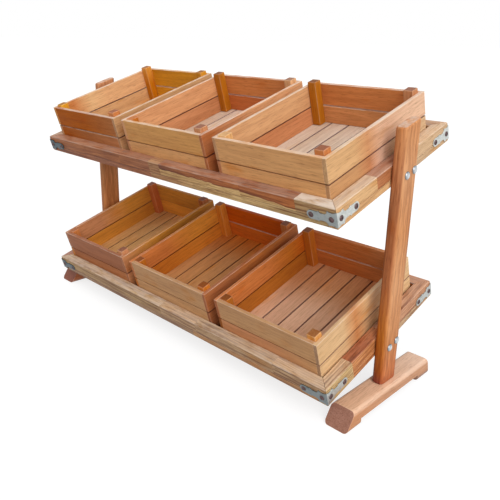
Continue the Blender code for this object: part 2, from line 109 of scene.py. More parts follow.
# %% [markdown]
# ## The camera
#
# The camera stands at the right front corner, a little above the upper crates. It could be set by eye, but
# here its place, turn and lens were fitted to the edges of the trays, posts and feet, so that any piece can
# be held against the picture. The small downward shift keeps the frame where the picture was cut.

# %% Camera
CAMERA_PLACE = (1.0761, -1.0216, 0.7411)
CAMERA_YAW = math.radians(43.76)
CAMERA_PITCH = math.radians(17.49)
CAMERA_ROLL = math.radians(1.22)
CAMERA_LENS = 42.75
CAMERA_SHIFT = (0.0025, -0.0545)


def make_camera():
    camera = bpy.data.objects.new("camera", bpy.data.cameras.new("camera"))
    SCENE.collection.objects.link(camera)
    turn = (
        Matrix.Rotation(CAMERA_YAW, 4, "Z")
        @ Matrix.Rotation(math.pi / 2 - CAMERA_PITCH, 4, "X")
        @ Matrix.Rotation(CAMERA_ROLL, 4, "Z")
    )
    camera.matrix_world = Matrix.Translation(CAMERA_PLACE) @ turn
    camera.data.lens = CAMERA_LENS
    camera.data.shift_x, camera.data.shift_y = CAMERA_SHIFT
    SCENE.camera = camera


make_camera()
print(f"camera: {Vector(CAMERA_PLACE).length:.2f} m away, {CAMERA_LENS} mm lens")

# %% [markdown]
# ## Timber tones
#
# The wood is a mixed lot of sealed hardwood, so hardly two pieces have one colour. Named tones cover it,
# written as the colours a screen shows and turned into light values here. A piece takes one tone, or a few
# that run into each other along its length, and strays a little from them.

# %% Tones


def tone(red, green, blue):
    """A screen colour, 0 to 255, as linear light."""
    shares = (channel / 255 for channel in (red, green, blue))
    return tuple(s / 12.92 if s < 0.04 else ((s + 0.055) / 1.055) ** 2.4 for s in shares)


BLOND = tone(221, 170, 122)
SAND = tone(233, 197, 150)
ALMOND = tone(230, 177, 127)
HONEY = tone(231, 174, 115)
WHEAT = tone(222, 163, 94)
TAN = tone(209, 161, 113)
DULL_TAN = tone(198, 150, 106)
PEACH = tone(228, 168, 119)
APRICOT = tone(219, 152, 97)
CLAY = tone(209, 145, 100)
CINNAMON = tone(209, 132, 74)
PAPRIKA = tone(217, 131, 67)
SPICE = tone(209, 119, 64)
COPPER = tone(187, 114, 68)
SADDLE = tone(200, 134, 90)
RUSSET = tone(182, 110, 72)
CHESTNUT = tone(187, 99, 20)
MAHOGANY = tone(166, 100, 60)
WALNUT = tone(178, 116, 80)
TEAK = tone(184, 116, 68)
UMBER = tone(140, 86, 62)
AMBER = tone(227, 155, 62)
MARIGOLD = tone(250, 171, 68)
SAFFRON = tone(244, 157, 59)
ORANGE = tone(211, 125, 41)
PUMPKIN = tone(194, 116, 37)
RUST = tone(220, 102, 12)
TANGERINE = tone(238, 130, 46)
RUST_BROWN = tone(156, 70, 16)
GOLD = tone(226, 164, 40)
OLD_GOLD = tone(216, 147, 30)
DARK_GOLD = tone(193, 113, 0)
BRONZE = tone(185, 113, 19)
STRAW = tone(216, 186, 134)
SAP = tone(238, 202, 142)
DRIFTWOOD = tone(200, 166, 120)
FLAX = tone(246, 197, 133)
OAT = tone(218, 184, 144)
ASH = tone(235, 217, 198)
ROSE_ASH = tone(241, 197, 163)
BISCUIT = tone(236, 191, 138)
DUN = tone(198, 162, 128)
FAWN = tone(208, 156, 120)
MAROON = tone(138, 68, 56)
PALE_ROSE = tone(248, 212, 186)
BLOND_EDGE = tone(226, 211, 196)
print("tan as light values:", [round(value, 3) for value in TAN])

# %% [markdown]
# ## Building node trees
#
# Every timber finish is made of the same few steps: stretch a noise along the grain, cut it to a mask,
# mix two colours by it. They could be wired by hand in the shader editor. The helper below gives each step
# a short word instead, and makes and places node groups with named sockets, so the finishes themselves
# read as a list of what is on the wood.

# %% Node helper
BUMP_DEPTH = 0.0004


class Nodes:
    """Fills a node tree; each word returns the socket that it makes."""

    def __init__(self, tree):
        self.tree = tree

    def add(self, kind, values=None, **settings):
        node = self.tree.nodes.new(kind)
        for name, value in settings.items():
            setattr(node, name, value)
        for name, value in (values or {}).items():
            self.set(node.inputs[name], value)
        return node

    def set(self, socket, value):
        if isinstance(value, bpy.types.NodeSocket):
            self.tree.links.new(value, socket)
        elif socket.type == "RGBA" and len(value) == 3:
            socket.default_value = (*value, 1.0)
        else:
            socket.default_value = value

    def group(self, tree, values):
        """A node group placed with its own values; returns its outputs by name."""
        return self.add("ShaderNodeGroup", values, node_tree=tree).outputs

    def math(self, operation, first, second=0.0):
        return self.add("ShaderNodeMath", {0: first, 1: second}, operation=operation).outputs[0]

    def times(self, first, second):
        return self.math("MULTIPLY", first, second)

    def noise(self, place, stretch, detail=3.0, roughness=0.55):
        stretched = self.add("ShaderNodeVectorMath", {0: place, 1: stretch}, operation="MULTIPLY")
        values = {"Vector": stretched.outputs[0], "Scale": 1.0, "Detail": detail, "Roughness": roughness}
        return self.add("ShaderNodeTexNoise", values).outputs["Fac"]

    def step(self, value, low, high):
        values = {"Value": value, "From Min": low, "From Max": high}
        return self.add("ShaderNodeMapRange", values, interpolation_type="SMOOTHSTEP").outputs[0]

    def spread(self, value, low, high):
        """A value from 0 to 1 spread from low to high."""
        return self.add("ShaderNodeMapRange", {"Value": value, "To Min": low, "To Max": high}).outputs[0]

    def mix(self, share, first, second, blend="MIX"):
        values = {0: share, 6: first, 7: second}
        return self.add("ShaderNodeMix", values, data_type="RGBA", blend_type=blend).outputs[2]

    def tint(self, share, colour, by):
        """The colour, multiplied by another to the given share."""
        return self.mix(share, colour, by, "MULTIPLY")

    def attribute(self, name, output):
        return self.add("ShaderNodeAttribute", attribute_name=name).outputs[output]

    def bump(self, height, strength):
        values = {"Height": height, "Strength": strength, "Distance": BUMP_DEPTH}
        return self.add("ShaderNodeBump", values).outputs["Normal"]


def new_group(name, inputs, outputs):
    """A node group with named sockets: its nodes, its inputs by name, and its output node."""
    tree = bpy.data.node_groups.new(name, "ShaderNodeTree")
    for label, kind, value in inputs:
        socket = tree.interface.new_socket(label, in_out="INPUT", socket_type=f"NodeSocket{kind}")
        if value is not None:
            socket.default_value = value
    for label, kind in outputs:
        tree.interface.new_socket(label, in_out="OUTPUT", socket_type=f"NodeSocket{kind}")
    nodes = Nodes(tree)
    return nodes, nodes.add("NodeGroupInput").outputs, nodes.add("NodeGroupOutput")


print("words for nodes:", [word for word in vars(Nodes) if not word.startswith("_")])

# %% [markdown]
# ## The figure of the wood
#
# A board is a cut through a trunk. Rings are circles round the trunk's axis that sway a little along it,
# so a flat cut shows arches and lines and a cut end shows arcs. Fibre streaks and short dark pores run
# along the grain on top of that. A picture of wood could be wrapped round each piece, but it would repeat
# and break at the edges. This group works in each piece's own grain place, which is stored on its points,
# so the figure goes through the piece and stays with it when a crate is lifted.

# %% Figure group
# Marks to the metre along the grain, and across it both ways
FIBRES = (14, 240, 240)
CLOUDS = (3.1, 22, 22)
VEINS = (6, 170, 170)
STAINS = (8, 24, 24)
PORES = (40, 700, 700)
SWAYS_ACROSS = 14.0
SWAY_REACH = 0.034
# What each kind of mark multiplies the timber's tone by
LATE_WOOD_TINT = (0.62, 0.5, 0.42)
FIBRE_TINT = (0.66, 0.54, 0.46)
VEIN_TINT = (0.5, 0.38, 0.32)
CLOUD_TINT = (0.86, 0.8, 0.74)
STAIN_TINT = (0.94, 0.76, 0.5)
PORE_TINT = (0.5, 0.38, 0.3)


def timber_figure_group():
    inputs = [
        ("Place", "Vector", None),
        ("Timber", "Color", None),
        ("Ring Spacing", "Float", 0.006),
        ("Ring Depth", "Float", 0.4),
        ("Waviness", "Float", 2.4),
        ("Streak Depth", "Float", 0.4),
        ("Vein Depth", "Float", 0.0),
        ("Pore Depth", "Float", 0.4),
    ]
    outputs = [("Colour", "Color"), ("Height", "Float"), ("Roughness", "Float")]
    nodes, given, out = new_group("timber_figure", inputs, outputs)
    place, timber = given["Place"], given["Timber"]
    sways = {"X": given["Waviness"], "Y": SWAYS_ACROSS, "Z": SWAYS_ACROSS}
    sway = nodes.noise(place, nodes.add("ShaderNodeCombineXYZ", sways).outputs[0], detail=2.0)
    across = nodes.add("ShaderNodeSeparateXYZ", {0: place}).outputs
    wide = nodes.times(across["Y"], across["Y"])
    thin = nodes.times(across["Z"], across["Z"])
    radius = nodes.math("SQRT", nodes.math("ADD", wide, thin))
    radius = nodes.math("ADD", radius, nodes.times(sway, SWAY_REACH))
    ring = nodes.math("FRACT", nodes.math("DIVIDE", radius, given["Ring Spacing"]))
    late = nodes.math("SUBTRACT", nodes.step(ring, 0.2, 0.86), nodes.step(ring, 0.88, 1.0))
    fibre = nodes.noise(place, FIBRES, detail=5.0, roughness=0.65)
    cloud = nodes.noise(place, CLOUDS, detail=3.0)
    vein = nodes.step(nodes.noise(place, VEINS, detail=4.0), 0.5, 0.64)
    stain = nodes.step(nodes.noise(place, STAINS, detail=2.0), 0.6, 0.76)
    pore = nodes.step(nodes.noise(place, PORES, detail=2.0), 0.54, 0.7)
    streak = nodes.times(nodes.step(fibre, 0.42, 0.68), given["Streak Depth"])
    late_wood = nodes.tint(1.0, timber, LATE_WOOD_TINT)
    colour = nodes.mix(nodes.times(late, given["Ring Depth"]), timber, late_wood)
    colour = nodes.tint(streak, colour, FIBRE_TINT)
    colour = nodes.tint(nodes.times(vein, given["Vein Depth"]), colour, VEIN_TINT)
    colour = nodes.tint(nodes.step(cloud, 0.62, 0.3), colour, CLOUD_TINT)
    colour = nodes.tint(stain, colour, STAIN_TINT)
    colour = nodes.tint(nodes.times(pore, given["Pore Depth"]), colour, PORE_TINT)
    nodes.set(out.inputs["Colour"], colour)
    raised = nodes.math("ADD", nodes.times(fibre, 0.5), nodes.times(late, 0.25))
    nodes.set(out.inputs["Height"], nodes.math("SUBTRACT", raised, nodes.times(pore, 0.5)))
    nodes.set(out.inputs["Roughness"], nodes.spread(cloud, 0.42, 0.62))
    return nodes.tree


FIGURE = timber_figure_group()
print("figure group:", len(FIGURE.nodes), "nodes")

# %% [markdown]
# ## Cut ends, gap shade, handled edges and rim light
#
# End grain drinks more of the finish, so cut ends are darker, stained by it and speckled with open pores.
# The same mark darkens faces that lie in a gap, as painted shade. Edges that hands and crates rub against
# go blond, and the same mark paints light on the crates' rims and on some gap lines. Both could be painted
# on by hand. Here they are masks stored on the pieces' points: the shape says where an end or an edge is,
# and a noise breaks it up so that it doesn't look ruled.

# %% Cut end and gap shade group
END_SPECKS = (300, 700, 700)
SPECK_TINT = (0.7, 0.66, 0.64)


def cut_end_and_gap_shade_group():
    inputs = [
        ("Colour", "Color", None),
        ("Cut", "Float", 0.0),
        ("Place", "Vector", None),
        ("Depth", "Float", 1.0),
        ("Stain", "Color", None),
    ]
    nodes, given, out = new_group("cut_ends_and_gap_shade", inputs, [("Colour", "Color")])
    speck = nodes.step(nodes.noise(given["Place"], END_SPECKS, detail=2.0), 0.45, 0.65)
    dark = nodes.tint(1.0, given["Colour"], given["Stain"])
    dark = nodes.tint(speck, dark, SPECK_TINT)
    # The cut mark also stands for painted shade on faces that lie in a gap
    share = nodes.times(given["Cut"], given["Depth"])
    nodes.set(out.inputs["Colour"], nodes.mix(share, given["Colour"], dark))
    return nodes.tree


CUT_ENDS_AND_GAP_SHADE = cut_end_and_gap_shade_group()
print("cut end group:", len(CUT_ENDS_AND_GAP_SHADE.nodes), "nodes")

# %% Handled and lit edge group
RUB_MARKS = (26, 90, 90)


def handled_and_lit_edge_group():
    inputs = [
        ("Colour", "Color", None),
        ("Edge", "Float", 0.0),
        ("Place", "Vector", None),
        ("Depth", "Float", 0.7),
    ]
    nodes, given, out = new_group("handled_and_lit_edges", inputs, [("Colour", "Color")])
    rubbed = nodes.step(nodes.noise(given["Place"], RUB_MARKS, detail=3.0), 0.22, 0.62)
    share = nodes.times(nodes.times(given["Edge"], rubbed), given["Depth"])
    nodes.set(out.inputs["Colour"], nodes.mix(share, given["Colour"], BLOND_EDGE))
    return nodes.tree


HANDLED_AND_LIT_EDGES = handled_and_lit_edge_group()
print("handled edge group:", len(HANDLED_AND_LIT_EDGES.nodes), "nodes")

# %% [markdown]
# ## Heartwood and sapwood
#
# Some staves of the trays were sawn near the bark: a straw-coloured band of sapwood runs along one side
# with a wavy dark line where the heartwood starts. It could be a strip of its own, but it is one piece of
# wood. So the height of the line is given at both ends of the stave and stored on its points, and a noise
# along the grain makes it wander.

# %% Sapwood group
LINE_WANDER = 0.009
LINE_RIPPLE = 0.0016
LINE_SOFTNESS = 0.0006
LINE_WIDTH = 0.0042
LINE_TINT = (0.5, 0.36, 0.34)


def sapwood_group():
    inputs = [("Heart", "Color", None), ("Level", "Float", 0.0), ("Place", "Vector", None)]
    nodes, given, out = new_group("sapwood", inputs, [("Colour", "Color")])
    wander = nodes.noise(given["Place"], (11, 0, 0), detail=2.0)
    ripple = nodes.noise(given["Place"], (70, 60, 60), detail=2.0)
    level = nodes.math("ADD", given["Level"], nodes.spread(wander, -LINE_WANDER, LINE_WANDER))
    level = nodes.math("ADD", level, nodes.spread(ripple, -LINE_RIPPLE, LINE_RIPPLE))
    height = nodes.add("ShaderNodeSeparateXYZ", {0: given["Place"]}).outputs["Y"]
    above = nodes.math("SUBTRACT", height, level)
    heart = nodes.step(above, -LINE_SOFTNESS, LINE_SOFTNESS)
    colour = nodes.mix(heart, SAP, given["Heart"])
    line = nodes.math("SUBTRACT", heart, nodes.step(above, LINE_SOFTNESS, LINE_WIDTH))
    nodes.set(out.inputs["Colour"], nodes.tint(line, colour, LINE_TINT))
    return nodes.tree


SAPWOOD = sapwood_group()
print("sapwood group:", len(SAPWOOD.nodes), "nodes")

# %% [markdown]
# ## The timber finishes
#
# All the timber finishes share the groups above and differ in how strongly the figure shows. Crates are
# plain sealed slats, their floors are barer and paler, the trays are glued up from strongly marked
# staves, and posts and feet are single pieces with a clear grain. One material for all would be shorter,
# but the real pieces differ. The shader itself stays in the material, with a low satin gloss.

# %% Timber finishes
END_STAIN = (0.54, 0.47, 0.54)
FOOT_STAIN = (0.62, 0.66, 1.0)
TIMBER_BUMP = 0.25


def new_material(name):
    material = bpy.data.materials.new(name)
    material.use_nodes = True
    nodes = Nodes(material.node_tree)
    return material, nodes, material.node_tree.nodes["Principled BSDF"]


def timber_finish(name, figure_values, edge=0.7, cut=1.0, gloss=0.25, sapwood=False, stain=END_STAIN):
    material, nodes, shader = new_material(name)
    place = nodes.attribute("grain", "Vector")
    timber = nodes.attribute("timber", "Color")
    if sapwood:
        values = {"Heart": timber, "Level": nodes.attribute("sap_level", "Fac"), "Place": place}
        timber = nodes.group(SAPWOOD, values)["Colour"]
    figure = nodes.group(FIGURE, {"Place": place, "Timber": timber, **figure_values})
    values = {"Cut": nodes.attribute("cut", "Fac"), "Depth": cut, "Stain": stain}
    colour = nodes.group(CUT_ENDS_AND_GAP_SHADE, {"Colour": figure["Colour"], "Place": place, **values})["Colour"]
    values = {"Edge": nodes.attribute("edge", "Fac"), "Depth": edge}
    colour = nodes.group(HANDLED_AND_LIT_EDGES, {"Colour": colour, "Place": place, **values})["Colour"]
    nodes.set(shader.inputs["Base Color"], colour)
    nodes.set(shader.inputs["Roughness"], figure["Roughness"])
    nodes.set(shader.inputs["Normal"], nodes.bump(figure["Height"], TIMBER_BUMP))
    shader.inputs["Specular IOR Level"].default_value = gloss
    return material


def depths(spacing, ring, streak, vein, pore, waviness=2.4):
    """The figure group's values: the rings' spacing, how strongly each mark shows, how wavy it is."""
    return {
        "Ring Spacing": spacing,
        "Ring Depth": ring,
        "Streak Depth": streak,
        "Vein Depth": vein,
        "Pore Depth": pore,
        "Waviness": waviness,
    }


CRATE_FIGURE = depths(0.0075, 0.22, 0.3, 0.0, 0.52)
FLOOR_FIGURE = depths(0.006, 0.2, 0.3, 0.0, 0.5)
TRAY_FIGURE = depths(0.005, 0.5, 0.9, 0.9, 0.9)
PLAIN_TRAY_FIGURE = depths(0.005, 0.3, 0.5, 0.35, 0.6)
POST_FIGURE = depths(0.009, 0.45, 0.6, 0.25, 0.6, waviness=7.0)
FOOT_FIGURE = depths(0.007, 0.15, 0.3, 0.0, 0.5)
CRATE_FINISH = timber_finish("crate_timber", CRATE_FIGURE, edge=0.75)
OILED_CRATE_FINISH = timber_finish("oiled_crate_timber", CRATE_FIGURE, edge=0.75, gloss=0.05)
CRATE_FLOOR_FINISH = timber_finish("crate_floor_timber", FLOOR_FIGURE, edge=0.4)
TRAY_FINISH = timber_finish("tray_timber", TRAY_FIGURE, edge=0.95, cut=0.7, sapwood=True)
PLAIN_TRAY_FINISH = timber_finish("plain_tray_timber", PLAIN_TRAY_FIGURE, edge=0.95, cut=0.7)
POST_FINISH = timber_finish("post_timber", POST_FIGURE, edge=1.0)
FOOT_FINISH = timber_finish("foot_timber", FOOT_FIGURE, edge=1.0, stain=FOOT_STAIN)
print("timber finishes:", [m.name for m in bpy.data.materials if m.name.endswith("timber")])

# %% [markdown]
# ## Marks on the timber
#
# What makes a shape wood is what its points carry: where they lie along and across the grain, the tone of
# the timber, and how much of a cut end or a handled edge they are, marks that also carry painted shade in
# gaps and painted light on rims. All of that could come from textures, but points are light, exact and
# move with the piece. The grain place starts from a drawn spot in the trunk, so no two pieces show one
# figure. Where the tone changes along a piece, rings of points carry it.

# %% Marks on points
MASKS = ("cut", "edge", "sap_level")
NO_SAPWOOD = -9.0
TINY = 0.00005


def new_timber():
    shape = bmesh.new()
    shape.verts.layers.float_vector.new("grain")
    shape.verts.layers.float_color.new("timber")
    for name in MASKS:
        shape.verts.layers.float.new(name)
    return shape


def as_list(tones):
    return tones if isinstance(tones, list) else [tones]


def tone_along(tones, share):
    """The tone at a share of the length, where the tones are listed from one end to the other."""
    spot = share * (len(tones) - 1)
    first = min(int(spot), max(len(tones) - 2, 0))
    second = min(first + 1, len(tones) - 1)
    return [a + (b - a) * (spot - first) for a, b in zip(tones[first], tones[second])]


def add_ring(shape, left_out, axis, at):
    """A ring of points across a shape at a spot along an axis, without the points left out."""
    parts = [corner for corner in shape.verts if corner not in left_out]
    parts += [edge for edge in shape.edges if edge.verts[0] not in left_out]
    parts += [face for face in shape.faces if face.verts[0] not in left_out]
    facing = Vector(float(other == axis) for other in range(3))
    bmesh.ops.bisect_plane(shape, geom=parts, dist=TINY, plane_co=facing * at, plane_no=facing)


def add_rings(shape, left_out, axis, low, high, tones):
    """One ring for each tone between the first and the last."""
    last = len(tones) - 1
    for i in range(1, last):
        add_ring(shape, left_out, axis, low + (high - low) * i / last)


def mark_timber(shape, corners, centre, order, tones, masks, sap=None, stray=0.05):
    """Writes grain, tone and masks on points; order lists the axes along the grain, wide and thin."""
    layers = shape.verts.layers
    thin = DRAW.choice((-1, 1)) * DRAW.uniform(0.015, 0.06)
    start = Vector((DRAW.uniform(0, 9), DRAW.uniform(-0.04, 0.04), thin))
    strayed = 1 + DRAW.uniform(-stray, stray)
    reach = max(abs(corner.co[order[0]] - centre[order[0]]) for corner in corners)
    for corner in corners:
        inside = Vector(corner.co[axis] - centre[axis] for axis in order)
        share = (inside.x / reach + 1) / 2
        mixed = Vector(tone_along(tones, share)) * strayed
        corner[layers.float_vector["grain"]] = inside + start
        corner[layers.float_color["timber"]] = (*mixed, 1.0)
        corner[layers.float["cut"]], corner[layers.float["edge"]] = masks(corner)
        level = NO_SAPWOOD
        if sap:
            level = sap[0] + (sap[1] - sap[0]) * share - centre[order[1]] + start.y
        corner[layers.float["sap_level"]] = level


def blend_tone(corner, layers, tones, place, share):
    """Blends a point's tone by a share into the tones of another face, at a place along them."""
    layer = layers.float_color["timber"]
    wanted = Vector((*tone_along(tones, place), 1.0))
    corner[layer] = Vector(corner[layer]).lerp(wanted, share)


print("marks on a point: grain, timber,", ", ".join(MASKS))

# %% [markdown]
# ## Sawn bars
#
# Slats, corner posts and board strips are sawn bars: boxes with all their edges eased. A bevel modifier
# could ease them, but here the bevel is made at once, so that each point knows whether it lies on a face,
# an edge or an end. A piece is then shown with smooth shading, sharp only where it turns by more than an
# eased edge does.

# %% Bars
CORNER_WEAR = 0.3
END_GRAIN = 0.35
# How far out into its eased edge a point lies, from 0 at the edge's inner line to 1 on the face
IN_GAP_FROM = 0.5
RIM_FROM = 0.5
ON_END_FROM = 0.9
FULL_WEAR_AT = 0.7


def add_bar(shape, low, high, along, tones, easing, rim=0.0, shaded_faces=(), ends=END_GRAIN, stray=0.05):
    """A box from low to high with eased edges and its grain along one axis.

    Its top is blond by rim, partly wear and partly painted light, its ends are dark by ends, and its faces
    that lie in a gap, listed as (axis, sign, darkness), are darkened as painted shade.
    """
    low, high = Vector(low), Vector(high)
    size, centre = high - low, (low + high) / 2
    before = set(shape.verts)
    place = Matrix.Translation(centre) @ Matrix.Diagonal((*size, 1.0))
    made = bmesh.ops.create_cube(shape, size=1.0, matrix=place)["verts"]
    edges = [edge for edge in shape.edges if edge.verts[0] in made]
    bmesh.ops.bevel(shape, geom=edges, offset=easing, segments=2, profile=0.5, affect="EDGES")
    add_rings(shape, before, along, low[along], high[along], tones)
    corners = [corner for corner in shape.verts if corner not in before]
    across = sorted((axis for axis in range(3) if axis != along), key=lambda axis: -size[axis])

    def masks(corner):
        out = corner.co - centre
        past = [max(0.0, 1 - (size[i] / 2 - abs(out[i])) / easing) for i in range(3)]
        # Faces that lie in a gap are darkened as painted shade through the cut mark, and get no blond edge
        gaps = (dark for i, sign, dark in shaded_faces if past[i] > IN_GAP_FROM and out[i] * sign > 0)
        gap_shade = max(gaps, default=0)
        worn = min(1.0, sorted(past)[1] / FULL_WEAR_AT)
        # A rim's blond is partly wear and partly painted light on its top edge
        on_rim = rim and corner.co.z > high.z - easing * RIM_FROM
        rubbed = max(rim, worn) if on_rim else worn * CORNER_WEAR
        return max(gap_shade, ends if past[along] > ON_END_FROM else 0.0), (0.0 if gap_shade else rubbed)

    mark_timber(shape, corners, centre, (along, *across), tones, masks, stray=stray)


print(f"cut ends are {END_GRAIN:.0%} dark unless a piece says otherwise")

# %% Pieces
FLAT = math.radians(50)


def new_object(name, shape):
    """An object in the scene made of a shape, which is used up."""
    mesh = bpy.data.meshes.new(name)
    shape.to_mesh(mesh)
    shape.free()
    made = bpy.data.objects.new(name, mesh)
    SCENE.collection.objects.link(made)
    return made


def show(name, shape, finish, body, nodes, place=UPRIGHT):
    """Makes a named piece of a shape that rides on a body and stands for one or more solids."""
    bmesh.ops.recalc_face_normals(shape, faces=shape.faces)
    piece = new_object(name, shape)
    piece.data.materials.append(finish)
    piece.data.shade_smooth()
    piece.data.set_sharp_from_angle(angle=FLAT)
    piece.matrix_world = place
    even = piece.modifiers.new("even_shading", "WEIGHTED_NORMAL")
    even.keep_sharp = True
    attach(piece, body)
    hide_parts(*nodes)
    return piece


print(f"edges that turn by more than {math.degrees(FLAT):.0f} degrees stay sharp")

# %% [markdown]
# ## The crates
#
# A crate is a small carcass: two slats to each wall with an open gap between them, a square post inside
# each corner, and a slatted floor under the walls. It could be one box with grooves, but then no light
# would come through the gaps, so it is made slat by slat. The side slats run the full depth, so their end
# grain shows at the front corners. Rims go blond, partly from wear and partly as painted light, and what
# lies in a gap is darkened as painted shade.

# %% Crate sizes
SLAT_THICKNESS = 0.009
UPPER_SLAT_HEIGHT = 0.051
SLAT_EASING = 0.0011
CORNER_POST_SIZE = 0.022
CORNER_POST_EASING = 0.0018
CORNER_POST_RISE = 0.010
FLOOR_SLATS = 6
FLOOR_GAP = 0.0038
FLOOR_EASING = 0.0006
FLOOR_STRAY = 0.1
FIT = 0.0003
POST_NAMES = ("front_left", "front_right", "back_left", "back_right")
# How blond the rims are, partly from wear and partly as painted light, and how dark the side slats' ends
RIM_WEAR_AND_LIGHT = {"upper": 0.8, "lower": 0.1, "lower_back": 0.0}
SIDE_END_GRAIN = {
    "upper_left": 0.35,
    "upper_middle": 0.1,
    "upper_right": 0.25,
    "lower_left": 0.5,
    "lower_middle": 0.25,
    "lower_right": 0.8,
}
# The width of the gap in each wall, and how dark its faces are painted as shade
SLAT_GAP = {
    "front": (0.0022, 0.5),
    "back": (0.003, 0.0),
    "left_side": (0.002, 1.0),
    "right_side": (0.002, 1.0),
}
ODD_GAPS = {"upper_left_crate_front": (0.0022, 0.0), "lower_left_crate_back": (0.001, 0.6)}
# How blond the lower slat's top is painted in a gap that is not shaded: painted light falling through the
# gap
LIT_GAP_RIM = 0.6
OILED_WALLS = ("upper_left_crate_front",)
# The axis and sign of the outer face of the walls that match the front outside
OUTER_FACE = {"back": (1, 1), "left_side": (0, -1)}
crate_low, crate_high = box_along("upper_left_crate_left_side")
print(f"crate walls: {(crate_high.z - crate_low.z) * 1000:.0f} mm tall")

# %% [markdown]
# ## The crates' tones
#
# Hardly two slats match, so each wall is listed as its upper and its lower slat, from the front or the
# left, and each crate's posts in the order of their names. The front left posts are cut to odd heights,
# given as the rise above the rim and how dark the top is. The tones also hold painted light: the insides of
# the lower crates and the inner faces of the back walls are painted brighter and warmer to lift their
# shade, the right walls of the right crates have a paler patch by the post where its shadow falls, and the
# lower left crate's floor is painted darker at the front as shade.

# %% Crate tones
CRATE_TONES = {
    "upper_left": {
        "front": ([CHESTNUT, CHESTNUT, TEAK], [CHESTNUT, TEAK, SADDLE]),
        "back": (OLD_GOLD, OLD_GOLD),
        "left_side": ([AMBER, CINNAMON, BISCUIT, *[ALMOND] * 4], TAN),
        "right_side": (TAN, DULL_TAN),
        "floor": ASH,
        "posts": (GOLD, CINNAMON, [DARK_GOLD, DARK_GOLD, AMBER], OLD_GOLD),
        "front_left": (0.0055, 1.0),
    },
    "upper_middle": {
        "front": (WHEAT, HONEY),
        "back": (CINNAMON, SPICE),
        "left_side": (PEACH, CLAY),
        "right_side": ([COPPER, CLAY, PEACH, PEACH, PEACH], COPPER),
        "floor": ASH,
        "posts": (ORANGE, CLAY, BRONZE, BLOND),
        "front_left": (0.0005, 0.2),
    },
    "upper_right": {
        "front": (HONEY, HONEY),
        "back": (CINNAMON, APRICOT),
        "left_side": (BLOND, SADDLE),
        "right_side": (
            [*[BISCUIT] * 3, PEACH, *[ROSE_ASH] * 5],
            [*[TAN] * 3, CLAY, PALE_ROSE, *[OAT] * 4],
        ),
        "floor": ASH,
        "posts": (FLAX, CINNAMON, BRONZE, CLAY),
        "front_left": (0.003, 0.3),
    },
    "lower_left": {
        "front": (MAHOGANY, [MAHOGANY, TEAK]),
        "back": (AMBER, MARIGOLD),
        "left_side": ([CLAY, CLAY, AMBER, AMBER], AMBER),
        "right_side": ([SADDLE, AMBER, AMBER, AMBER], [SADDLE, PUMPKIN, PUMPKIN]),
        "floor": [TAN, FLAX, FLAX, FLAX],
        "posts": (CINNAMON, CLAY, SPICE, COPPER),
        "front_left": (0.004, 0.6),
    },
    "lower_middle": {
        "front": (TAN, TAN),
        "back": (RUST, TANGERINE),
        "left_side": ([PAPRIKA, PAPRIKA, MARIGOLD, MARIGOLD], [ORANGE, ORANGE, SAFFRON, SAFFRON]),
        "right_side": ([COPPER, COPPER, PAPRIKA, PAPRIKA, PAPRIKA], MAHOGANY),
        "floor": [*[HONEY] * 3, SAFFRON],
        "posts": (ORANGE, ORANGE, SAFFRON, CINNAMON),
        "front_left": (0.001, 1.0),
    },
    "lower_right": {
        "front": (TAN, [CLAY, CLAY, TAN]),
        "back": ([PAPRIKA, PAPRIKA, APRICOT], [PAPRIKA, PAPRIKA, APRICOT]),
        "left_side": ([PAPRIKA, PAPRIKA, PAPRIKA, ORANGE, RUST], PUMPKIN),
        "right_side": (
            [*[SAND] * 3, APRICOT, BISCUIT, *[SAND] * 4],
            [*[SAND] * 3, APRICOT, *[SAND] * 5],
        ),
        "floor": [*[ROSE_ASH] * 3, PEACH, PEACH],
        "posts": (PUMPKIN, WHEAT, ORANGE, CINNAMON),
        "front_left": (0.0005, 1.0),
    },
}
print("crates:", list(CRATE_TONES))

# %% [markdown]
# ## Walls, posts and floors
#
# Each wall is two bars in one mesh. The outer faces of the back and left walls, which stand away from the
# viewer, take the tones of the crate's front. Each post is its own piece, and the floor is six bars with
# gaps between them.

# %% Crate walls


def match_front(shape, crate, axis, outer, gap_top):
    """Gives a wall's outer face the tones of the crate's front."""
    upper, lower = map(as_list, CRATE_TONES[crate.removesuffix("_crate")]["front"])
    for corner in shape.verts:
        if abs(corner.co[axis] - outer) < SLAT_EASING / 2:
            slat = upper if corner.co.z > gap_top - TINY else lower
            blend_tone(corner, shape.verts.layers, slat, 0.5, 1.0)


def make_wall(crate, wall, low, high, along, tones, slot):
    """Two slats, one above the other, with an open gap between them."""
    node = f"{crate}_{wall}"
    shape = new_timber()
    upper, lower = map(as_list, tones)
    tier = crate.split("_")[0]
    gap, shade = ODD_GAPS.get(node, SLAT_GAP[wall])
    ends = SIDE_END_GRAIN[crate.removesuffix("_crate")] if along else END_GRAIN
    rim = RIM_WEAR_AND_LIGHT.get(f"{tier}_{wall}", RIM_WEAR_AND_LIGHT[tier])
    gap_top = high.z - UPPER_SLAT_HEIGHT
    top_slat = ((low.x, low.y, gap_top), high)
    add_bar(shape, *top_slat, along, upper, SLAT_EASING, rim, shaded_faces=[(2, -1, shade)], ends=ends)
    gap_foot = Vector((high.x, high.y, gap_top - gap))
    # A gap that is not shaded gets a blond line on the lower slat's top, painted light falling through it
    gap_rim = 0.0 if shade else LIT_GAP_RIM
    add_bar(shape, low, gap_foot, along, lower, SLAT_EASING, gap_rim, shaded_faces=[(2, 1, shade)], ends=ends)
    if wall in OUTER_FACE:
        axis, sign = OUTER_FACE[wall]
        outer = high[axis] if sign > 0 else low[axis]
        match_front(shape, crate, axis, outer, gap_top)
    finish = OILED_CRATE_FINISH if node in OILED_WALLS else CRATE_FINISH
    show(f"{node}_slats", shape, finish, crate, [node], SLOPE)


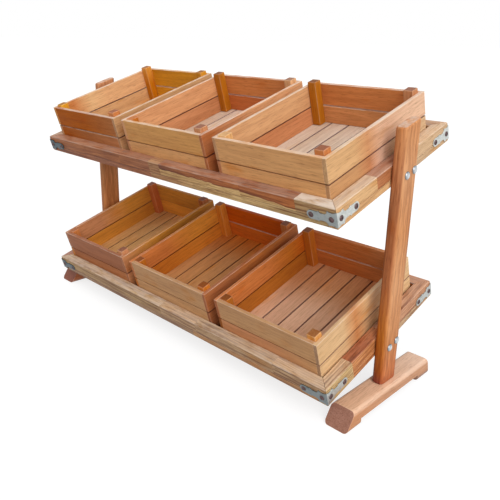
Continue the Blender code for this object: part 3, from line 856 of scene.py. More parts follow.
def make_end(crate, end, tones, slot):
    """The front or back wall with the two corner posts inside it."""
    node = f"{crate}_{end}"
    low, high = box_along(node)
    rim = box_along(f"{crate}_left_side")[1].z
    if end == "front":
        wall_y, post_y = (low.y, low.y + SLAT_THICKNESS), (low.y + SLAT_THICKNESS, high.y)
    else:
        wall_y, post_y = (high.y - SLAT_THICKNESS, high.y), (low.y, high.y - SLAT_THICKNESS)
    wall_low, wall_high = Vector((low.x, wall_y[0], low.z)), Vector((high.x, wall_y[1], rim))
    make_wall(crate, end, wall_low, wall_high, 0, tones[end], slot)
    for side in ("left", "right"):
        name = f"{end}_{side}"
        x = low.x + FIT if side == "left" else high.x - FIT - CORNER_POST_SIZE
        shape = new_timber()
        rise, dark = tones.get(name, (CORNER_POST_RISE, 1.0))
        foot, top = (x, post_y[0], low.z + FIT), (x + CORNER_POST_SIZE, post_y[1], rim + rise)
        post_tones = as_list(tones["posts"][POST_NAMES.index(name)])
        add_bar(shape, foot, top, 2, post_tones, CORNER_POST_EASING, ends=dark)
        show(f"{crate}_{name}_corner_post", shape, CRATE_FINISH, crate, [node], SLOPE)


print("gaps in mm:", {wall: round(gap * 1000, 1) for wall, (gap, shade) in SLAT_GAP.items()})

# %% Crates


def make_floor(crate, floor_tone):
    node = f"{crate}_floor"
    low, high = box_along(node)
    pitch = (high.x - low.x) / FLOOR_SLATS
    shape = new_timber()
    for i in range(FLOOR_SLATS):
        left = low.x + pitch * i + (FLOOR_GAP / 2 if i else 0)
        right = low.x + pitch * (i + 1) - (FLOOR_GAP / 2 if i < FLOOR_SLATS - 1 else 0)
        near, far = (left, low.y, low.z), (right, high.y, high.z)
        # The slats' sides in the gaps are darkened as painted shade
        gaps = [(0, -1, 1.0), (0, 1, 1.0)]
        add_bar(shape, near, far, 1, as_list(floor_tone), FLOOR_EASING, shaded_faces=gaps, stray=FLOOR_STRAY)
    show(f"{node}_slats", shape, CRATE_FLOOR_FINISH, crate, [node], SLOPE)


def make_crate(tier, place):
    crate = f"{tier}_{place}_crate"
    tones = CRATE_TONES[f"{tier}_{place}"]
    slot = f"{tier}_crate_wood"
    for end in ("front", "back"):
        make_end(crate, end, tones, slot)
    for side in ("left_side", "right_side"):
        make_wall(crate, side, *box_along(f"{crate}_{side}"), 1, tones[side], slot)
    make_floor(crate, tones["floor"])


for tier in ("lower", "upper"):
    for place in ("left", "middle", "right"):
        make_crate(tier, place)

# %% [markdown]
# ## The trays
#
# Each tray is a glued-up base board with four rails on it, mitred at the corners. The rails are made of
# short staves butted end to end, straw beside russet, which gives the stand its patchwork look. One long
# bar with painted patches would show no joints. So each stave is lofted: one section with rounded upper
# edges, a hair smaller at its ends, so each butt joint is a fine groove. Its top is bleached by the light,
# and can have tones of its own.

# %% Staves of the rails
JOINT_DARK = 0.6
Stave = namedtuple("Stave", "end tones sap bleach seam top")


def stave(end, *tones, sap=None, bleach=0.3, seam=JOINT_DARK, top=None):
    """A stave's right end along the rail and its looks.

    These are its tones, its sapwood's height at both ends, how bleached its top is, how dark its seam
    with the board is, and its top's tones where they differ.
    """
    return Stave(end, tones, sap, bleach, seam, top)


# Staves from left to right along each rail, seen from outside; the last one reaches the rail's end
RAIL_STAVES = {
    "upper_front": [
        stave(-0.16, TEAK, bleach=0.2),
        stave(-0.04, TEAK, WALNUT, bleach=0.15),
        stave(0.0, DULL_TAN, bleach=0.1),
        stave(0.26, UMBER, TEAK, COPPER, CINNAMON, sap=(0.016, 0.013), bleach=0.2, top=[WALNUT]),
        stave(0.405, COPPER, CINNAMON, sap=(0.012, 0.005), bleach=0.2, top=[WALNUT]),
        stave(0.5, DRIFTWOOD, bleach=1.0),
    ],
    "upper_right": [
        stave(-0.071, BISCUIT, bleach=0.5, seam=0.1, top=[OAT]),
        stave(0.05, SADDLE, bleach=0.25, seam=0.3, top=[WALNUT]),
        stave(0.5, OAT),
    ],
    "upper_back": [
        stave(-0.2, TAN),
        stave(0.1, RUSSET, sap=(0.008, 0.008)),
        stave(0.33, STRAW),
        stave(0.5, CINNAMON),
    ],
    "upper_left": [stave(-0.05, WALNUT), stave(0.5, TAN)],
    "lower_front": [
        stave(-0.02, DRIFTWOOD, bleach=0.5),
        stave(0.114, OAT),
        stave(0.36, OAT, bleach=0.4, top=[DRIFTWOOD]),
        stave(0.5, OAT),
    ],
    "lower_right": [
        stave(-0.112, STRAW, bleach=0.2, seam=0.1, top=[OAT]),
        # This stave's top runs paler towards the post: painted light where the post's shadow falls on it
        stave(0.0, APRICOT, bleach=0.05, seam=0.2, top=[RUSSET, RUSSET, CLAY]),
        stave(0.5, FAWN, bleach=0.15),
    ],
    "lower_back": [
        stave(-0.24, CINNAMON),
        stave(0.02, STRAW),
        stave(0.27, TAN, sap=(0.007, 0.007)),
        stave(0.5, RUSSET),
    ],
    "lower_left": [stave(0.03, TAN), stave(0.5, RUSSET, sap=(0.006, 0.006))],
}
print("staves:", {rail: len(staves) for rail, staves in RAIL_STAVES.items()})

# %% Stave shapes
RAIL_ROUNDING = 0.0025
RAIL_EASING = 0.0008
ARC_STEPS = 4
JOINT_GROOVE = 0.0003
MITRE_GAP = 0.0002
ROUNDING_WEAR = 0.6
STAVE_STRAY = 0.08


def rail_section(width, height):
    """A rail's section as (across from the outer face, up): rounded upper edges, eased lower ones."""
    points = [(0, RAIL_EASING * 2), (0, RAIL_EASING), (RAIL_EASING, 0)]
    points += [(width - across, up) for across, up in reversed(points)]
    for middle, start in ((width - RAIL_ROUNDING, 0), (RAIL_ROUNDING, 90)):
        for i in range(ARC_STEPS + 1):
            turn = math.radians(start + 90 * i / ARC_STEPS)
            y = middle + RAIL_ROUNDING * math.cos(turn)
            points.append((y, height - RAIL_ROUNDING + RAIL_ROUNDING * math.sin(turn)))
    return points


def loft(shape, rings):
    """Closed skin over rings of points, with a face over each end ring; returns its corners."""
    rows = [[shape.verts.new(point) for point in ring] for ring in rings]
    count = len(rows[0])
    for near, far in zip(rows, rows[1:]):
        for i in range(count):
            j = (i + 1) % count
            shape.faces.new((near[i], near[j], far[j], far[i]))
    shape.faces.new(reversed(rows[0]))
    shape.faces.new(rows[-1])
    return [corner for row in rows for corner in row]


def stave_rings(looks, start, end, half, width, height):
    """The stave's section at each station along it; a station at the rail's end is cut to the mitre."""
    first, last = (1 if start <= -half else 0), (-1 if end >= half else 0)
    steps = max(len(looks.tones), len(looks.top or ()), 2) - 1
    stations = [
        (start + MITRE_GAP * first, JOINT_GROOVE, first),
        (start + JOINT_GROOVE, 0, first),
        *((start + (end - start) * i / steps, 0, 0) for i in range(1, steps)),
        (end - JOINT_GROOVE, 0, last),
        (end + MITRE_GAP * last, JOINT_GROOVE, last),
    ]
    middle = (width / 2, height / 2)
    rings = []
    for x, inset, mitre in stations:
        ring = []
        for across, up in rail_section(width, height):
            y = across + (middle[0] - across) * inset / middle[0]
            z = up + (middle[1] - up) * inset / middle[1]
            ring.append((x + mitre * y, y, z))
        rings.append(ring)
    return rings


def add_stave(shape, looks, start, end, half, width, height):
    corners = loft(shape, stave_rings(looks, start, end, half, width, height))

    def masks(corner):
        down = (height - corner.co.z) / RAIL_ROUNDING
        rubbed = min(ROUNDING_WEAR, looks.bleach * 2) * 4 * down * (1 - down)
        worn = max(looks.bleach * (1 - down), rubbed) if down < 1 else 0.0
        return (looks.seam if corner.co.z < RAIL_EASING * 1.5 else 0.0), worn

    centre = Vector(((start + end) / 2, width / 2, 0.0))
    mark_timber(shape, corners, centre, (0, 2, 1), looks.tones, masks, looks.sap, STAVE_STRAY)
    if looks.top:
        for corner in corners:
            up = max(0.0, 1 - (height - corner.co.z) / RAIL_ROUNDING)
            place = min(max((corner.co.x - start) / (end - start), 0.0), 1.0)
            blend_tone(corner, shape.verts.layers, looks.top, place, up)


rail_low, rail_high = box_along("upper_tray_front_rail")
rail_size = rail_high - rail_low
print("points round a rail's section:", len(rail_section(rail_size.y, rail_size.z)))

# %% Rails


def tray_finish(tier, side):
    """The upper tray's right end is plainer than the rest."""
    return PLAIN_TRAY_FINISH if (tier, side) == ("upper", "right") else TRAY_FINISH


def make_rails(tier):
    sides = ("front", "right", "back", "left")
    for i, side in enumerate(sides):
        node = f"{tier}_tray_{side}_rail"
        low, high = box_along(node)
        size, centre = high - low, (low + high) / 2
        half, width = max(size.x, size.y) / 2, min(size.x, size.y)
        out = Matrix.Rotation(i * math.pi / 2, 4, "Z")
        middle = Matrix.Translation((centre.x, centre.y, low.z))
        place = middle @ out @ Matrix.Translation((0, -width / 2, 0))
        shape = new_timber()
        start = -half
        for looks in RAIL_STAVES[f"{tier}_{side}"]:
            end = min(looks.end, half)
            add_stave(shape, looks, start, end, half, width, size.z)
            start = end
        finish = tray_finish(tier, side)
        show(f"{node}_staves", shape, finish, "stand", [node], SLOPE @ place)


for tier in ("lower", "upper"):
    make_rails(tier)

# %% [markdown]
# ## Base boards
#
# A base board is strips of staves with the joints staggered. Its front strip shows under the front rail,
# and a strip across each end shows at the sides, so their staves are listed. Those under the crates are
# drawn. They are sawn bars, set side by side, because a real glued board is just that.

# %% Base boards
BOARD_STRIPS = 9
BOARD_EASING = 0.0005
BOARD_TONES = (TAN, CINNAMON, WALNUT, STRAW, RUSSET, DULL_TAN)
BOARD_END_GRAIN = 0.1
BOARD_STRAY = 0.1
SHORTEST_STAVE, LONGEST_STAVE = 0.16, 0.36
END_STRIP_WIDTH = 0.02
# Where each stave ends along its strip, and its tone
FRONT_STRIP = {
    "upper": [(-0.04, WALNUT), (0.5, [DULL_TAN, TAN, SAP, SAP, SAP, STRAW, STRAW])],
    "lower": [(0.1, DUN), (0.5, TAN)],
}
END_STRIP = {
    "upper_right": [(0.05, BISCUIT), (0.5, OAT)],
    "upper_left": [(0.05, WALNUT), (0.5, TAN)],
    "lower_right": [(-0.112, STRAW), (0.0, APRICOT), (0.5, OAT)],
    "lower_left": [(0.0, TAN), (0.5, RUSSET)],
}


def drawn_strip(half):
    """A strip's staves, each of a drawn length and tone."""
    staves = []
    end = -half + DRAW.uniform(0.5, 1.0) * LONGEST_STAVE
    while end < half - SHORTEST_STAVE / 2:
        staves.append((end, DRAW.choice(BOARD_TONES)))
        end += DRAW.uniform(SHORTEST_STAVE, LONGEST_STAVE)
    return staves + [(half, DRAW.choice(BOARD_TONES))]


def make_end_strip(tier, side, near, far, low, high):
    """The strip across one end of a board, between two places along it."""
    node = f"{tier}_tray_base_board"
    shape = new_timber()
    start, middle = low.y, (low.y + high.y) / 2
    for end, stave_tone in END_STRIP[f"{tier}_{side}"]:
        end = min(middle + end, high.y)
        box = ((near, start, low.z), (far, end, high.z))
        add_bar(shape, *box, 1, [stave_tone], BOARD_EASING, ends=BOARD_END_GRAIN, stray=0.0)
        start = end
    show(f"{node}_{side}_strip", shape, tray_finish(tier, side), "stand", [node], SLOPE)


def make_board(tier):
    node = f"{tier}_tray_base_board"
    low, high = box_along(node)
    pitch = (high.y - low.y) / BOARD_STRIPS
    shape = new_timber()
    left, right = low.x + END_STRIP_WIDTH, high.x - END_STRIP_WIDTH
    for i in range(BOARD_STRIPS):
        start = left
        for end, stave_tone in drawn_strip(right) if i else FRONT_STRIP[tier]:
            end = min(end, right)
            near, far = low.y + pitch * i, low.y + pitch * (i + 1)
            box = ((start, near, low.z), (end, far, high.z))
            looks = {"ends": BOARD_END_GRAIN, "stray": BOARD_STRAY}
            add_bar(shape, *box, 0, as_list(stave_tone), BOARD_EASING, **looks)
            start = end
    show(f"{node}_staves", shape, TRAY_FINISH, "stand", [node], SLOPE)
    make_end_strip(tier, "left", low.x, left, low, high)
    make_end_strip(tier, "right", right, high.x, low, high)


for tier in ("lower", "upper"):
    make_board(tier)

# %% [markdown]
# ## Posts and feet
#
# The posts are flat boards on edge with well rounded long edges and a top cut to the trays' slope. The
# feet are thicker, with both ends sloped and a shallow relief underneath, so each stands on two pads.
# Both could be cut from a block. Here they start as a prism, because one outline gives the whole form, and
# their edges are rounded by how the edges lie.

# %% Prisms
END_FACING = 0.8


def add_prism(shape, outline, low, high):
    """An outline in Y and Z carried along X."""
    loft(shape, [[(x, y, z) for y, z in outline] for x in (low, high)])


def round_edges(shape, wanted, width, steps):
    edges = [edge for edge in shape.edges if wanted(edge.verts[0].co, edge.verts[1].co)]
    bmesh.ops.bevel(shape, geom=edges, offset=width, segments=steps, profile=0.5, affect="EDGES")


def ease_sharp_edges(shape, width):
    shape.normal_update()
    edges = [edge for edge in shape.edges if edge.calc_face_angle(0.0) > FLAT]
    bmesh.ops.bevel(shape, geom=edges, offset=width, segments=2, profile=0.5, affect="EDGES")


def mark_by_faces(shape, centre, order, sawn, tones, ends, wear):
    """Marks a shape by its faces larger than sawn: those that look along the grain are its cut ends.

    Cut ends take the (cut, edge) marks given as ends, and what isn't on a large face is worn.
    """
    bmesh.ops.recalc_face_normals(shape, faces=shape.faces)
    large = [face for face in shape.faces if face.calc_area() > sawn]
    cut = [face for face in large if abs(face.normal[order[0]]) > END_FACING]
    flat_points = {corner for face in large for corner in face.verts}
    end_points = {corner for face in cut for corner in face.verts}

    def masks(corner):
        if corner in end_points:
            return ends
        return 0.0, (0.0 if corner in flat_points else wear)

    mark_timber(shape, list(shape.verts), centre, order, tones, masks, stray=0.0)


for node in ("left_post", "right_post", "left_foot", "right_foot"):
    node_low, node_high = box_along(node, UPRIGHT)
    print(f"{node}:", [round(side * 1000, 1) for side in node_high - node_low], "mm")

# %% [markdown]
# ## The posts
#
# Seen from the front the posts darken towards the foot, where they are stained maroon, and their outer
# sides are lighter, which is painted light on the sides the light falls on. So the tones of the sides are
# blended in over the rounded edge, and the stain over the lowest stretch, with a ring of points where it
# ends.

# %% Posts
POST_ROUNDING = 0.009
POST_ROUNDING_STEPS = 5
POST_END_EASING = 0.0035
POST_END_STEPS = 3
POST_TONES = {
    "left": [COPPER, CINNAMON, APRICOT, CLAY, CLAY],
    "right": [RUST_BROWN, PUMPKIN, COPPER, COPPER, SADDLE, APRICOT],
}
# The outer sides' tones are lighter than the fronts': painted light on the sides the light falls on
POST_SIDE_TONES = {
    "left": POST_TONES["left"],
    "right": [SPICE, APRICOT, PEACH, APRICOT, PEACH, APRICOT],
}
POST_SIDE_BLEND = 3
POST_STAIN_HEIGHT = 0.03
POST_SIDE_UNSTAINED = 0.6
POST_TOP_BLEACH = 0.5
SAWN_POST_FACE = 0.0006


def tone_post(shape, side, outer, foot_top, top):
    """Lightens the post's outer side as painted light and stains its foot."""
    for corner in shape.verts:
        up = corner.co.z - foot_top
        side_share = max(0.0, 1 - (outer - abs(corner.co.x)) / POST_ROUNDING)
        side_tones, blend = POST_SIDE_TONES[side], side_share**POST_SIDE_BLEND
        blend_tone(corner, shape.verts.layers, side_tones, up / (top - foot_top), blend)
        stained = max(0.0, 1 - up / POST_STAIN_HEIGHT) * (1 - side_share * POST_SIDE_UNSTAINED)
        blend_tone(corner, shape.verts.layers, [MAROON], 0.0, stained)


def make_post(side):
    node = f"{side}_post"
    low, high = box_along(node, UPRIGHT)
    foot_top = box_along(f"{side}_foot", UPRIGHT)[1].z + FIT
    top = high.z
    fall = (high.y - low.y) * math.tan(LEAN)
    outline = [(low.y, foot_top), (high.y, foot_top), (high.y, top), (low.y, top - fall)]
    shape = new_timber()
    add_prism(shape, outline, low.x, high.x)
    tall = (top - foot_top) / 2
    round_edges(shape, lambda a, b: abs(a.z - b.z) > tall, POST_ROUNDING, POST_ROUNDING_STEPS)
    round_edges(shape, lambda a, b: min(a.z, b.z) > top - fall - TINY, POST_END_EASING, POST_END_STEPS)
    round_edges(shape, lambda a, b: max(a.z, b.z) < foot_top + TINY, POST_END_EASING, POST_END_STEPS)
    add_rings(shape, (), 2, foot_top, top, POST_TONES[side])
    add_ring(shape, (), 2, foot_top + POST_STAIN_HEIGHT)
    centre = Vector(((low.x + high.x) / 2, (low.y + high.y) / 2, (foot_top + top) / 2))
    looks = {"tones": POST_TONES[side], "ends": (0.0, POST_TOP_BLEACH), "wear": 0.0}
    mark_by_faces(shape, centre, (2, 1, 0), SAWN_POST_FACE, **looks)
    tone_post(shape, side, max(abs(low.x), abs(high.x)), foot_top, top)
    show(f"{node}_board", shape, POST_FINISH, "stand", [node])


for side in ("left", "right"):
    make_post(side)

# %% [markdown]
# ## The feet
#
# A foot's top is worn paler than its sides, its sloped front end is stained end grain, and its back pad
# is darkened low down, a painted shade where it meets the floor. The pale top is blended in over the
# rounded edge, and the shade up to a ring of points that only the back half has, so that the front end
# stays one face.

# %% Feet
FOOT_FRONT_SLANT = 0.026
FOOT_BACK_SLANT = 0.010
FOOT_PAD_LENGTH = 0.050
FOOT_RELIEF = 0.015
FOOT_ROUNDING = 0.009
FOOT_ROUNDING_STEPS = 6
FOOT_EASING = 0.0009
FOOT_TONES = {"left": [RUSSET, RUSSET, RUSSET], "right": [CLAY, FAWN, FAWN]}
FOOT_TOP_TONES = {"left": [CLAY, CLAY, CLAY], "right": [ROSE_ASH, ROSE_ASH, PALE_ROSE]}
FOOT_WEAR = 0.2
# Painted shade low on the back pad: how high it reaches and how dark it is
FOOT_PAD_SHADE_HEIGHT = 0.0125
FOOT_PAD_SHADE = 0.85
SAWN_FOOT_FACE = 0.0008


def tone_foot(shape, side, low, high):
    """Pales the foot's top and darkens its back pad as painted shade."""
    layers = shape.verts.layers
    for corner in shape.verts:
        top_share = max(0.0, 1 - (high.z - corner.co.z) / FOOT_ROUNDING)
        place = (corner.co.y - low.y) / (high.y - low.y)
        if corner[layers.float["cut"]] < 0.5:
            blend_tone(corner, layers, FOOT_TOP_TONES[side], place, top_share)
        # Painted shade low on the back pad, where it meets the floor
        if corner.co.y > high.y - FOOT_PAD_LENGTH - TINY:
            below = low.z + FOOT_PAD_SHADE_HEIGHT - corner.co.z
            pad_shade = min(1.0, max(0.0, below / (FOOT_PAD_SHADE_HEIGHT - FOOT_ROUNDING)))
            blend_tone(corner, layers, [UMBER], 0.0, pad_shade * FOOT_PAD_SHADE)


def make_foot(side):
    node = f"{side}_foot"
    low, high = box_along(node, UPRIGHT)
    relief = low.z + FOOT_RELIEF
    outline = [
        (low.y, low.z),
        (low.y + FOOT_PAD_LENGTH, low.z),
        (low.y + FOOT_PAD_LENGTH, relief),
        (high.y - FOOT_PAD_LENGTH, relief),
        (high.y - FOOT_PAD_LENGTH, low.z),
        (high.y, low.z),
        (high.y - FOOT_BACK_SLANT, high.z),
        (low.y + FOOT_FRONT_SLANT, high.z),
    ]
    shape = new_timber()
    add_prism(shape, outline, low.x, high.x)

    def is_long_outer_edge(a, b):
        along = abs(a.x - b.x) < TINY and abs(a.z - b.z) < TINY
        return along and abs(a.z - relief) > TINY

    round_edges(shape, is_long_outer_edge, FOOT_ROUNDING, FOOT_ROUNDING_STEPS)
    ease_sharp_edges(shape, FOOT_EASING)
    add_rings(shape, (), 1, low.y, high.y, FOOT_TONES[side])
    front_half = {corner for corner in shape.verts if corner.co.y < (low.y + high.y) / 2 - TINY}
    add_ring(shape, front_half, 2, low.z + FOOT_PAD_SHADE_HEIGHT)
    looks = {"tones": FOOT_TONES[side], "ends": (1.0, 0.0), "wear": FOOT_WEAR}
    mark_by_faces(shape, (low + high) / 2, (1, 0, 2), SAWN_FOOT_FACE, **looks)
    tone_foot(shape, side, low, high)
    show(f"{node}_block", shape, FOOT_FINISH, "stand", [node])


for side in ("left", "right"):
    make_foot(side)

# %% [markdown]
# ## Metal finishes
#
# The braces are galvanised sheet: dull grey with the patchy crystals that zinc leaves, called spangle.
# Their screws are browned steel, nearly black with a purple tinge, and the bolts are bright zinc. Plain
# grey metal would look like plastic at this size, so a texture of small cells makes the spangle, a fine
# noise hazes what is turned, and a mark stored on the points says where the metal is darker: on the
# braces' legs partly dulled zinc and partly painted shade, and on the bolts' rims painted shade.

# %% Metal finishes
CRYSTALS = 260.0
PALE_CRYSTAL = tone(228, 230, 224)
DARK_CRYSTAL = tone(200, 204, 202)
ZINC_STAIN_TINT = (0.78, 0.79, 0.78)
DULL_ZINC_TINT = tone(93, 107, 117)
SPANGLE_BUMP = 0.2
RIM_SHADE = (0.28, 0.28, 0.29)


def spangle_finish():
    material, nodes, shader = new_material("galvanised_sheet")
    place = nodes.add("ShaderNodeTexCoord").outputs["Object"]
    cells = nodes.add("ShaderNodeTexVoronoi", {"Vector": place, "Scale": CRYSTALS}).outputs["Color"]
    grey = nodes.add("ShaderNodeRGBToBW", {0: cells}).outputs[0]
    stain = nodes.noise(place, (60, 60, 60), detail=3.0)
    colour = nodes.mix(grey, DARK_CRYSTAL, PALE_CRYSTAL)
    colour = nodes.tint(nodes.step(stain, 0.5, 0.75), colour, ZINC_STAIN_TINT)
    # Where the mark is set the zinc is darker: partly dulling, partly painted shade on the legs that face
    # the front
    dull = nodes.tint(1.0, colour, DULL_ZINC_TINT)
    nodes.set(shader.inputs["Base Color"], nodes.mix(nodes.attribute("patina", "Fac"), colour, dull))
    nodes.set(shader.inputs["Roughness"], nodes.spread(grey, 0.34, 0.5))
    nodes.set(shader.inputs["Normal"], nodes.bump(stain, SPANGLE_BUMP))
    shader.inputs["Metallic"].default_value = 0.9
    return material


def turned_metal_finish(name, bright, dull, low, high):
    material, nodes, shader = new_material(name)
    place = nodes.add("ShaderNodeTexCoord").outputs["Object"]
    haze = nodes.noise(place, (400, 400, 400), detail=3.0)
    colour = nodes.mix(haze, bright, dull)
    # Where the mark is set, the colour is darkened as painted shade, on the bolts' rims
    worn = nodes.tint(1.0, colour, RIM_SHADE)
    nodes.set(shader.inputs["Base Color"], nodes.mix(nodes.attribute("patina", "Fac"), colour, worn))
    nodes.set(shader.inputs["Roughness"], nodes.spread(haze, low, high))
    shader.inputs["Metallic"].default_value = 0.95
    return material


SPANGLE = spangle_finish()
BROWNED = turned_metal_finish("browned_steel", tone(120, 98, 98), tone(70, 54, 54), 0.3, 0.5)
ZINC = turned_metal_finish("bright_zinc", tone(226, 231, 234), tone(186, 192, 196), 0.2, 0.35)
print("metal finishes:", [finish.name for finish in (SPANGLE, BROWNED, ZINC)])

# %% [markdown]
# ## Corner braces
#
# A brace is one strap bent round a tray's corner, stamped with a fancy outline: wide at the bend, a sharp
# cusp, a narrow waist, a barb and a round tip. It could be cut from a sheet with booleans, but bending that
# would pinch it. Each leg's half width is one function of the distance from the corner, so the strap is a
# skin of columns that is wrapped round the bend and then given its thickness. The legs that face the front
# are darker than those on the sides, partly dulled and partly painted shade.

# %% Brace outline
BRACE_LEG = 0.066
BRACE_THICKNESS = 0.002
BRACE_BEND = 0.0026
BRACE_CORNER_WIDTH = 0.0304
BRACE_SCALLOP = 0.0022
BRACE_CUSP_AT = 0.019
BRACE_CUSP_WIDTH = 0.0300
BRACE_WAIST_FROM = 0.027
BRACE_WAIST_TO = 0.034
BRACE_WAIST_WIDTH = 0.0145
BRACE_BARB_AT = 0.0385
BRACE_BARB_WIDTH = 0.0215
BRACE_BARB_END = 0.045
BRACE_BARB_SAG = 0.0006
BRACE_TIP_WIDTH = 0.0180
BRACE_TIP_TURN = math.radians(86)
CURVE_STEPS = 8


def quarter(near, far, flat_first):
    """Points of a quarter turn from near to far, as (distance, half width), flat at one end."""
    points = []
    for i in range(CURVE_STEPS + 1):
        turn = math.pi / 2 * i / CURVE_STEPS
        slow, fast = 1 - math.cos(turn), math.sin(turn)
        along, across = (fast, slow) if flat_first else (slow, fast)
        points.append((near[0] + (far[0] - near[0]) * along, near[1] + (far[1] - near[1]) * across))
    return points


def scallop(near, far, depth):
    """Points from near to far that sag by a depth halfway."""
    points = []
    for i in range(CURVE_STEPS + 1):
        share = i / CURVE_STEPS
        sag = depth * math.sin(math.pi * share)
        points.append((near[0] + (far[0] - near[0]) * share, near[1] + (far[1] - near[1]) * share - sag))
    return points


def brace_columns():
    """(distance from the corner, half width) of one leg, from the corner to just short of the tip."""
    cusp = (BRACE_CUSP_AT, BRACE_CUSP_WIDTH / 2)
    barb = (BRACE_BARB_AT, BRACE_BARB_WIDTH / 2)
    waist = BRACE_WAIST_WIDTH / 2
    tip = BRACE_TIP_WIDTH / 2
    columns = scallop((0.0, BRACE_CORNER_WIDTH / 2), cusp, BRACE_SCALLOP)[:-1]
    columns += quarter(cusp, (BRACE_WAIST_FROM, waist), flat_first=False)
    columns += quarter((BRACE_WAIST_TO, waist), barb, flat_first=True)[:-1]
    columns += scallop(barb, (BRACE_BARB_END, tip), BRACE_BARB_SAG)
    for i in range(CURVE_STEPS + 1):
        turn = BRACE_TIP_TURN * i / CURVE_STEPS
        columns.append((BRACE_LEG - tip + tip * math.sin(turn), tip * math.cos(turn)))
    return columns


print("columns to a leg:", len(brace_columns()))

# %% Brace straps
BRACE_ROWS = (-1.0, -0.5, 0.0, 0.5, 1.0)


def brace_stations():
    """The strap's middle line from tip to tip with its half widths.

    Leg 0 runs along -X on the front face, then comes the bend, and leg 1 runs along +Y.
    """
    off = FIT + BRACE_THICKNESS / 2
    start = off - BRACE_BEND
    stations = [((-s, -off), w) for s, w in reversed(brace_columns()) if s > -start]
    for i in range(CURVE_STEPS + 1):
        turn = math.radians(-90 + 90 * i / CURVE_STEPS)
        spot = (start + BRACE_BEND * math.cos(turn), -start + BRACE_BEND * math.sin(turn))
        stations.append((spot, BRACE_CORNER_WIDTH / 2))
    return stations + [((off, s), w) for s, w in brace_columns() if s > -start]


def brace_strap(dulling_and_shade):
    """The strap's middle surface, with each leg darkened by its own share, partly dulling and partly
    painted shade.
    """
    shape = bmesh.new()
    patina = shape.verts.layers.float.new("patina")
    columns = [[shape.verts.new((x, y, w * row)) for row in BRACE_ROWS] for (x, y), w in brace_stations()]
    for corner in shape.verts:
        corner[patina] = dulling_and_shade[0 if corner.co.y < 0 else 1]
    for near, far in zip(columns, columns[1:]):
        for i in range(len(BRACE_ROWS) - 1):
            shape.faces.new((near[i], far[i], far[i + 1], near[i + 1]))
    return shape


print("columns to a strap:", len(brace_stations()))

# %% [markdown]
# ## Screws
#
# Four round-head screws hold each brace. A head is a low dome turned on its axis, as on a lathe. Its cross
# recess could be cut by two bars, but where they overlap they leave stray points, so one cross-shaped bar
# cuts it. The heads are copies of one, each turned by a drawn angle as a hand driver leaves them.

# %% Screw heads
SCREW_HEAD_RADIUS = 0.0057
SCREW_HEAD_HEIGHT = 0.0026
SCREW_LIP = 0.0005
SCREW_SLOT_LENGTH = 0.0052
SCREW_SLOT_WIDTH = 0.0011
SCREW_SLOT_DEPTH = 0.0011
TURNED_STEPS = 28


def turned(profile):
    """A profile of (radius, height) points, from the axis out and back to it, turned about Z."""
    shape = bmesh.new()
    points = [shape.verts.new((radius, 0, height)) for radius, height in profile]
    edges = [shape.edges.new(pair) for pair in zip(points, points[1:])]
    turn = {"cent": (0, 0, 0), "axis": (0, 0, 1), "angle": math.tau, "steps": TURNED_STEPS}
    bmesh.ops.spin(shape, geom=points + edges, use_merge=True, **turn)
    bmesh.ops.remove_doubles(shape, verts=shape.verts, dist=TINY / 10)
    return shape


def dome(radius, height, lip):
    """A low dome on a short straight lip."""
    ball = (radius**2 + (height - lip) ** 2) / (2 * (height - lip))
    reach = math.asin(radius / ball)
    turns = [reach * i / CURVE_STEPS for i in range(CURVE_STEPS + 1)]
    points = [(ball * math.sin(turn), height - ball * (1 - math.cos(turn))) for turn in turns]
    return points + [(radius, 0.0)]


def cross_bar():
    """A bar with the recess's cross for its section, from the recess's floor to well above the head."""
    long, thin = SCREW_SLOT_LENGTH / 2, SCREW_SLOT_WIDTH / 2
    arm = [(long, -thin), (long, thin), (thin, thin)]
    outline = []
    for _ in range(4):
        outline += arm
        arm = [(-y, x) for x, y in arm]
    levels = (SCREW_HEAD_HEIGHT - SCREW_SLOT_DEPTH, SCREW_HEAD_HEIGHT + SCREW_SLOT_DEPTH)
    shape = bmesh.new()
    loft(shape, [[(x, y, level) for x, y in outline] for level in levels])
    return new_object("cross_bar", shape)


def screw_head_mesh():
    """A domed head with a cross recess, its seat at z = 0."""
    shape = turned(dome(SCREW_HEAD_RADIUS, SCREW_HEAD_HEIGHT, SCREW_LIP) + [(0.0, 0.0)])
    bmesh.ops.recalc_face_normals(shape, faces=shape.faces)
    head = new_object("screw_head", shape)
    bar = cross_bar()
    cut = head.modifiers.new("cross", "BOOLEAN")
    cut.operation = "DIFFERENCE"
    cut.object = bar
    bpy.context.view_layer.update()
    seen = head.evaluated_get(bpy.context.evaluated_depsgraph_get())
    mesh = bpy.data.meshes.new_from_object(seen)
    for spent in (head, bar):
        bpy.data.objects.remove(spent)
    return mesh


SCREW_HEAD = screw_head_mesh()
print("screw head:", len(SCREW_HEAD.polygons), "faces")

# %% Braces
BRACE_EASING = 0.0005
BRACE_SCREW_SPOTS = (0.0105, 0.0565)
# How dark each leg is: partly dulled zinc, partly painted shade, most on the legs that face the front
FRONT_DULLING_AND_SHADE = {
    "upper_front_left": 1.0,
    "upper_front_right": 0.65,
    "lower_front_left": 1.0,
    "lower_front_right": 0.8,
}
BACK_DULLING_AND_SHADE = 0.4
SIDE_DULLING_AND_SHADE = {"upper": 0.11, "lower": 0.31}


